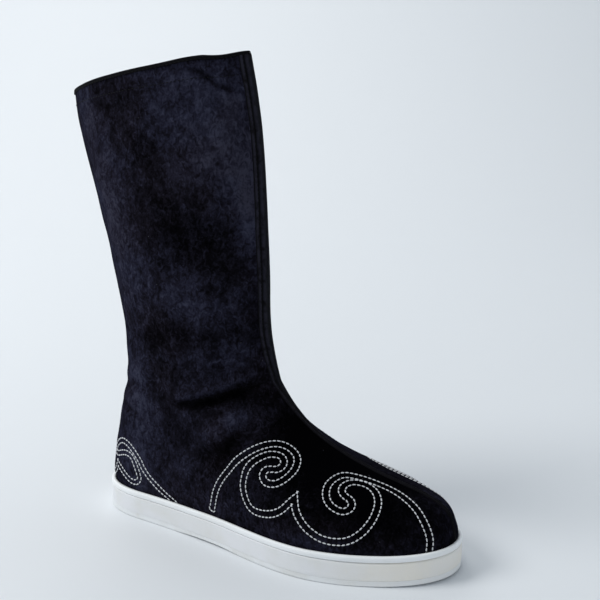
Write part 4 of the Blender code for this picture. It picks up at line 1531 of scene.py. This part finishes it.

# %% [markdown]
# Velvet is a short pile. Where the pile leans away it looks black, and where it leans towards the light it
# looks blue-grey, so a real boot has soft clouds of tone. The large clouds are given as ellipses in
# millimetres and kept on the mesh as an attribute; they mix the pile's own tone with painted sheen on the lit
# and grazing parts and painted shade in the folds and hollows. The small ones come from noise.

# %% Tone of the velvet, with painted sheen and painted shade
NAP_BASE, NAP_INSIDE = 0.49, 0.2
# Painted shade in the fold troughs and painted light on their rolled lips, per mm of fold relief.
FOLD_SHADING = 0.11
SEAM_SHARE = 14
NAP_SHEEN_SHADE = {
    # change of tone, centre x and z mm, half lengths mm along and across, turn in degrees
    "outer": (
        (0.34, 22, 232, 62, 19, 100), (0.32, 40, 98, 40, 17, 96), (0.24, 40, 44, 26, 22, 90),
        (0.20, -2, 300, 26, 14, 90), (0.04, 30, 312, 16, 12, 0), (0.16, 44, 176, 22, 12, 96),
        (-0.08, 38, 150, 14, 10, 90), (0.32, 113, 284, 44, 26, 84), (0.16, 86, 306, 20, 30, 0),
        (0.18, 110, 316, 18, 9, 0), (-0.12, 84, 228, 26, 20, -40), (-0.22, 108, 210, 30, 17, -20),
        (-0.08, 110, 186, 14, 12, 0), (0.42, 128, 234, 34, 8, 92), (-0.12, 92, 252, 18, 8, 90),
        (-0.10, 97, 196, 12, 8, 0), (-0.09, 54, 270, 14, 8, 90), (-0.10, 100, 308, 14, 7, 0),
        (0.26, 86, 184, 24, 14, 8), (-0.34, 61, 141, 16, 9, 30), (-0.10, 84, 150, 20, 9, 10),
        (0.18, 106, 166, 22, 9, 0), (0.20, 106, 133, 26, 9, 0), (-0.12, 77, 128, 9, 6, 20),
        (-0.14, 134, 160, 14, 6, 100), (-0.22, 118, 103, 24, 8, 4), (-0.06, 108, 88, 18, 10, 10),
        (-0.30, 122, 71, 16, 10, 30), (0.20, 134, 90, 14, 9, 0), (-0.62, 172, 88, 24, 24, -40),
        (-0.64, 202, 70, 34, 19, -20), (-0.34, 250, 48, 34, 16, -20), (-0.06, 150, 46, 40, 18, 0),
        (-0.24, 214, 46, 40, 14, 0), (0.10, 112, 32, 34, 9, 0), (0.14, 190, 28, 26, 8, 0),
        (0.12, 84, 95, 14, 6, 10), (0.14, 70, 327, 24, 6, 0), (-0.10, 106, 323.5, 12, 2.6, -34),
        (0.10, 92, 325, 12, 4, 0),
    ),
    "inner": (
        (0.26, 20, 210, 70, 20, 96), (-0.24, 70, 226, 34, 22, 40), (0.24, 106, 276, 44, 22, 84),
        (-0.22, 104, 150, 30, 18, 10), (0.16, 62, 120, 34, 16, 20), (-0.30, 180, 72, 44, 26, -30),
        (-0.24, 240, 44, 40, 22, -20), (0.18, 44, 50, 30, 20, 80), (0.16, 60, 180, 26, 14, 10),
    ),
}
# The tone: the pile's own clouds, painted sheen on lit and grazing parts, and painted shade in folds and
# hollows.
nap_sheen_shade = by_side(lambda x, z, side: ellipses(x, z, side, NAP_SHEEN_SHADE, NAP_BASE)) + FOLD_SHADING * fold_part
seam_share = bell(from_back, SEAM_SHARE)
nap_sheen_shade = nap_sheen_shade * (1 - seam_share) + nap_sheen_shade[:, BACK_COLUMN:BACK_COLUMN + 1] * seam_share
nap_sheen_shade = np.concatenate([nap_sheen_shade.ravel(), np.full(len(velvet_inside) * nap_sheen_shade.shape[1], NAP_INSIDE)])
layer = velvet.data.attributes.new("nap_sheen_shade", "FLOAT", "POINT")
layer.data.foreach_set("value", nap_sheen_shade.astype(np.float32))
print("nap from", round(float(nap_sheen_shade.min()), 2), "to", round(float(nap_sheen_shade.max()), 2))


# %% [markdown]
# The velvet's colour runs through a ramp from nearly black to blue-grey. The painted tone, which holds
# painted sheen and painted shade as well as the pile's own clouds, chooses the place on the ramp, and four
# noises move
# it: clouds as wide as a thumb, clumps, brushed streaks and the grain of the pile. A warm tint comes and
# goes, a few threads of lint lie on it, and the shader's own sheen is low, as on worn velvet.

# %% Velvet
VELVET_TONES = (
    # place on the ramp, colour
    (0.00, (0.0008, 0.0008, 0.0011)), (0.28, (0.0029, 0.0027, 0.0039)), (0.50, (0.0071, 0.0068, 0.0112)),
    (0.72, (0.0147, 0.0150, 0.0272)), (1.00, (0.032, 0.034, 0.056)),
)
CLOUD_SHARE, CLUMP_SHARE, STREAK_SHARE, GRAIN_SHARE = 0.54, 0.56, 1.02, 0.40
CLOUD_SIZE, STREAK_SIZE, WARM_SIZE, LINT_SIZE, LINT_AREA = 0.026, 0.0034, 0.045, 0.0022, 0.011
STREAK_SCALE, STREAK_TURN = (1.0, 1.0, 0.7), math.radians(20)
WARM, WARM_SHARE, LINT = (1.0, 0.86, 0.74), 0.45, (0.06, 0.06, 0.07)


def tone_ramp(tree, tone):
    """The velvet's colour for a tone from 0, black like pile leaning away, to 1, blue-grey like pile leaning
    to the light; the tone holds painted sheen and painted shade.
    """
    node = tree.nodes.new("ShaderNodeValToRGB")
    marks = node.color_ramp.elements
    marks[0].color, marks[1].color = (*VELVET_TONES[0][1], 1), (*VELVET_TONES[-1][1], 1)
    for place, colour in VELVET_TONES[1:-1]:
        marks.new(place).color = (*colour, 1)
    tree.links.new(tone, node.inputs["Fac"])
    return node.outputs["Color"]


def brushed_streaks(tree, place):
    """Noise drawn out along the way the pile was brushed."""
    brushed = tree.nodes.new("ShaderNodeMapping")
    brushed.inputs["Scale"].default_value = STREAK_SCALE
    brushed.inputs["Rotation"].default_value = (0.0, STREAK_TURN, 0.0)
    tree.links.new(place, brushed.inputs["Vector"])
    return noise_node(tree, brushed.outputs["Vector"], STREAK_SIZE, 3.0, 1.2)


def velvet_finish():
    material = plain_material("black_velvet", (0.007, 0.007, 0.010), 0.92)
    tree = material.node_tree
    shader = shader_of(material, sheen=0.022, tint=(0.60, 0.62, 1.0), gloss=0.0)
    place = object_place(material)
    fibres = place_group(material, FIBRES, place, Size=0.0013, Clump_Size=0.008)
    clouds = noise_node(tree, place, CLOUD_SIZE, 4.0, 1.0)
    # The painted tone carries painted sheen and painted shade besides the pile's own clouds.
    tone = painted(material, "nap_sheen_shade")
    for part, share in ((clouds, CLOUD_SHARE), (fibres["Clumps"], CLUMP_SHARE),
                        (brushed_streaks(tree, place), STREAK_SHARE), (fibres["Grain"], GRAIN_SHARE)):
        shift = math_node(tree, "MULTIPLY", math_node(tree, "SUBTRACT", part, 0.5), share)
        tone = math_node(tree, "ADD", tone, shift)
    warm = spread(tree, noise_node(tree, place, WARM_SIZE, 3.0), 0.44, 0.62)
    warm = math_node(tree, "MULTIPLY", warm, WARM_SHARE)
    base = mix_colours(tree, warm, tone_ramp(tree, tone), WARM, "MULTIPLY")
    threads = spread(tree, noise_node(tree, place, LINT_SIZE, 1.0), 0.775, 0.80)
    areas = spread(tree, noise_node(tree, place, LINT_AREA, 1.0), 0.60, 0.70)
    base = mix_colours(tree, math_node(tree, "MULTIPLY", threads, areas), base, LINT)
    tree.links.new(base, shader.inputs["Base Color"])
    bump(tree, fibres["Height"], 0.0006, 0.5)
    return material


dress(velvet, velvet_finish())

# %% [markdown]
# The strip and the binding are a plain black cloth without pile. Its weave is seen only in the highlights.
# Where the strip stands proud, the crests of its raised edges are painted a little paler, a painted highlight
# that the crown attribute places.

# %% Black cloth of the strip and the binding
THREAD_LOW, THREAD_HIGH = (0.0014, 0.0013, 0.0018), (0.0060, 0.0057, 0.0078)
# Colour of the painted highlight on the strip's crests.
CREST_HIGHLIGHT = (0.0200, 0.0196, 0.0300)


def binding_finish():
    material = plain_material("black_binding_cloth", (0.004, 0.004, 0.005), 0.72)
    tree = material.node_tree
    shader = shader_of(material, sheen=0.012, tint=(0.7, 0.8, 1.0), gloss=0.05)
    weave = place_group(material, WEAVE, cloth_place(material), Thread=0.00055)
    fibres = place_group(material, FIBRES, object_place(material), Size=0.0010, Clump_Size=0.005)
    tone = math_node(tree, "MULTIPLY", weave["Height"], fibres["Grain"], True)
    base = mix_colours(tree, tone, THREAD_LOW, THREAD_HIGH)
    # Painted highlight: paler colour on the strip's raised crests, broken up by the clumps.
    uneven = spread(tree, fibres["Clumps"], 0.25, 0.60)
    lit_crests = math_node(tree, "MULTIPLY", painted(material, "crown"), uneven)
    base = mix_colours(tree, lit_crests, base, CREST_HIGHLIGHT)
    tree.links.new(base, shader.inputs["Base Color"])
    height = math_node(tree, "ADD", weave["Height"], math_node(tree, "MULTIPLY", fibres["Height"], 0.6))
    bump(tree, height, 0.00012, 0.6)
    return material


binding_cloth = binding_finish()
dress(binding, binding_cloth)
dress(strip, binding_cloth)

# %% [markdown]
# Lining and insole are undyed cotton, so they share one finish: a visible weave, darker in its gaps, with
# soft clumps of fibre. Each gets its own two colours and thread.

# %% Lining and insole
def cloth_finish(name, light, dark, thread):
    material = plain_material(name, light, 0.85)
    tree = material.node_tree
    shader = shader_of(material, sheen=0.05, gloss=0.2)
    weave = place_group(material, WEAVE, cloth_place(material), Thread=thread)
    fibres = place_group(material, FIBRES, object_place(material), Size=0.0016, Clump_Size=0.014)
    soft = math_node(tree, "MULTIPLY", fibres["Clumps"], 0.7)
    share = math_node(tree, "ADD", math_node(tree, "MULTIPLY", weave["Gaps"], 0.6), soft, True)
    base = mix_colours(tree, share, light, dark)
    tree.links.new(base, shader.inputs["Base Color"])
    bump(tree, weave["Height"], 0.00015, 0.6)
    return material


dress(lining, cloth_finish("cotton_lining", (0.34, 0.32, 0.27), (0.20, 0.18, 0.15), 0.0007))
dress(insole, cloth_finish("insole_cotton", (0.30, 0.28, 0.24), (0.17, 0.155, 0.13), 0.0009))

# %% [markdown]
# The three layers of the sole are white rubber of different ages. The lip is the brightest. The sidewall and
# the tread are duller, with faint soil. Towards the toe they turn creamy and paler: a tan tint, with painted
# light that lifts the toe, which faces away from the key lamp.

# %% Rubber of the sole
# Where the toe's tan tint and painted light come in, in metres along the sole.
TOE_TAN_LIGHT_START, TOE_TAN_LIGHT_END = 0.150, 0.225
SPECK_SIZE = 0.0016


def rubber_finish(name, clean, soil, amount, patch, roughness, gloss, toe_tan_and_light=None):
    """White rubber that turns near the toe to the last argument's colour: a tan tint with painted light."""
    material = plain_material(name, clean, roughness)
    tree = material.node_tree
    shader = shader_of(material, gloss=gloss)
    place = object_place(material)
    dirt = place_group(material, SOIL, place, Clean=(*clean, 1), Soil=(*soil, 1), Amount=amount,
                       Patch_Size=patch, Speck_Size=SPECK_SIZE)
    base = dirt["Colour"]
    # Near the toe: a tan tint, and painted light that lifts the shaded toe.
    if toe_tan_and_light:
        axes = tree.nodes.new("ShaderNodeSeparateXYZ")
        tree.links.new(place, axes.inputs[0])
        near_toe = spread(tree, axes.outputs["X"], TOE_TAN_LIGHT_START, TOE_TAN_LIGHT_END)
        uneven = math_node(tree, "ADD", math_node(tree, "MULTIPLY", dirt["Mask"], 0.9), 0.55)
        base = mix_colours(tree, math_node(tree, "MULTIPLY", near_toe, uneven, True), base, toe_tan_and_light)
    tree.links.new(base, shader.inputs["Base Color"])
    rough = math_node(tree, "ADD", math_node(tree, "MULTIPLY", dirt["Mask"], 0.3), roughness, True)
    tree.links.new(rough, shader.inputs["Roughness"])
    bump(tree, dirt["Height"], 0.00015, 0.35)
    return material


dress(lip, rubber_finish("white_lip_rubber", (0.88, 0.90, 0.91), (0.60, 0.58, 0.53), 0.14, 0.030,
                         0.42, 0.45))
dress(sidewall, rubber_finish("off_white_sidewall", (0.77, 0.78, 0.80), (0.68, 0.68, 0.63), 0.40, 0.026,
                              0.55, 0.35, toe_tan_and_light=(0.87, 0.83, 0.75)))
dress(tread, rubber_finish("off_white_tread", (0.78, 0.80, 0.81), (0.60, 0.59, 0.54), 0.4, 0.020,
                           0.7, 0.3, toe_tan_and_light=(0.84, 0.84, 0.83)))

# %% [markdown]
# The boot stands on a plain pale floor that runs up into a plain pale backdrop, like a roll of studio paper.
# The light is soft and comes from all round, with a brighter source high on the left and a wash on the paper.

# %% Floor and backdrop
SWEEP_TURN, SWEEP_SHIFT, SWEEP_DROP, SWEEP_STEPS = math.radians(30), 0.09, 0.0002, 16


def sweep(name, near, far, width, rise, radius):
    """A floor that curves up into a wall, like the paper roll of a photo studio."""
    profile = [(near, 0.0), (far - radius, 0.0)]
    for k in range(1, SWEEP_STEPS + 1):
        a = math.pi / 2 * k / SWEEP_STEPS
        profile.append((far - radius + radius * math.sin(a), radius - radius * math.cos(a)))
    profile.append((far, rise))
    points = []
    for away, up in profile:
        for side in (-width / 2, width / 2):
            x = side * math.cos(SWEEP_TURN) - away * math.sin(SWEEP_TURN)
            y = side * math.sin(SWEEP_TURN) + away * math.cos(SWEEP_TURN)
            points.append((x + SWEEP_SHIFT, y, up - SWEEP_DROP))
    faces = [(2 * k, 2 * k + 1, 2 * k + 3, 2 * k + 2) for k in range(len(profile) - 1)]
    mesh = bpy.data.meshes.new(name)
    mesh.from_pydata(points, [], faces)
    mesh.shade_smooth()
    return placed(name, mesh)


backdrop = sweep("studio_sweep", near=-2.6, far=2.2, width=7.0, rise=2.8, radius=1.0)
backdrop.data.materials.append(plain_material("studio_paper", (0.72, 0.745, 0.77), 0.9))
print("backdrop:", triangles(backdrop), "triangles")

# %% Soft studio light
world = bpy.data.worlds.new("studio_air")
world.use_nodes = True
world.node_tree.nodes["Background"].inputs["Color"].default_value = (0.86, 0.93, 1.0, 1)
world.node_tree.nodes["Background"].inputs["Strength"].default_value = 0.58
bpy.context.scene.world = world
bpy.context.scene.view_settings.view_transform = "Standard"


def soft_light(name, place, target, size, power, colour):
    """A round soft lamp at a place, turned to a target."""
    lamp = bpy.data.lights.new(name, "AREA")
    lamp.shape, lamp.size, lamp.energy, lamp.color = "DISK", size, power, colour
    piece = placed(name, lamp)
    piece.location = place
    piece.rotation_euler = (Vector(target) - Vector(place)).to_track_quat("-Z", "Y").to_euler()
    print(name, "-", power, "W")
    return piece


soft_light("key_left", (-1.1, -0.9, 1.7), (0.05, 0.1, 0.15), 1.1, 26, (1.0, 0.99, 0.97))
wash = soft_light("paper_wash", (-1.18, 1.06, 2.05), (-1.28, 1.46, 1.05), 1.5, 16, (1.0, 0.98, 0.95))
wash.visible_camera = False

# %% [markdown]
# The camera looks a little down on the boot's outer side. Its place, turn and shift were found by fitting the
# sole's and the collar's outlines to the picture.

# %% The camera
CAMERA_PLACE = (0.4948, -0.6794, 0.3563)
CAMERA_TURN, CAMERA_TILT = math.radians(30), math.radians(14.73)
CAMERA_LENS, CAMERA_SENSOR, CAMERA_SHIFT = 69, 36, (0.04075, 0.05493)
right = Vector((math.cos(CAMERA_TURN), math.sin(CAMERA_TURN), 0))
back = Vector((math.sin(CAMERA_TURN) * math.cos(CAMERA_TILT), -math.cos(CAMERA_TURN) * math.cos(CAMERA_TILT),
               math.sin(CAMERA_TILT)))
lens = bpy.data.cameras.new("photo_camera")
lens.lens, lens.sensor_width = CAMERA_LENS, CAMERA_SENSOR
lens.shift_x, lens.shift_y = CAMERA_SHIFT
camera = placed("photo_camera", lens)
camera.matrix_world = (Matrix.Translation(CAMERA_PLACE)
                       @ Matrix((right, back.cross(right), back)).transposed().to_4x4())
bpy.context.scene.camera = camera
print("camera turned", round(math.degrees(CAMERA_TURN)), "degrees, lens", CAMERA_LENS, "mm")
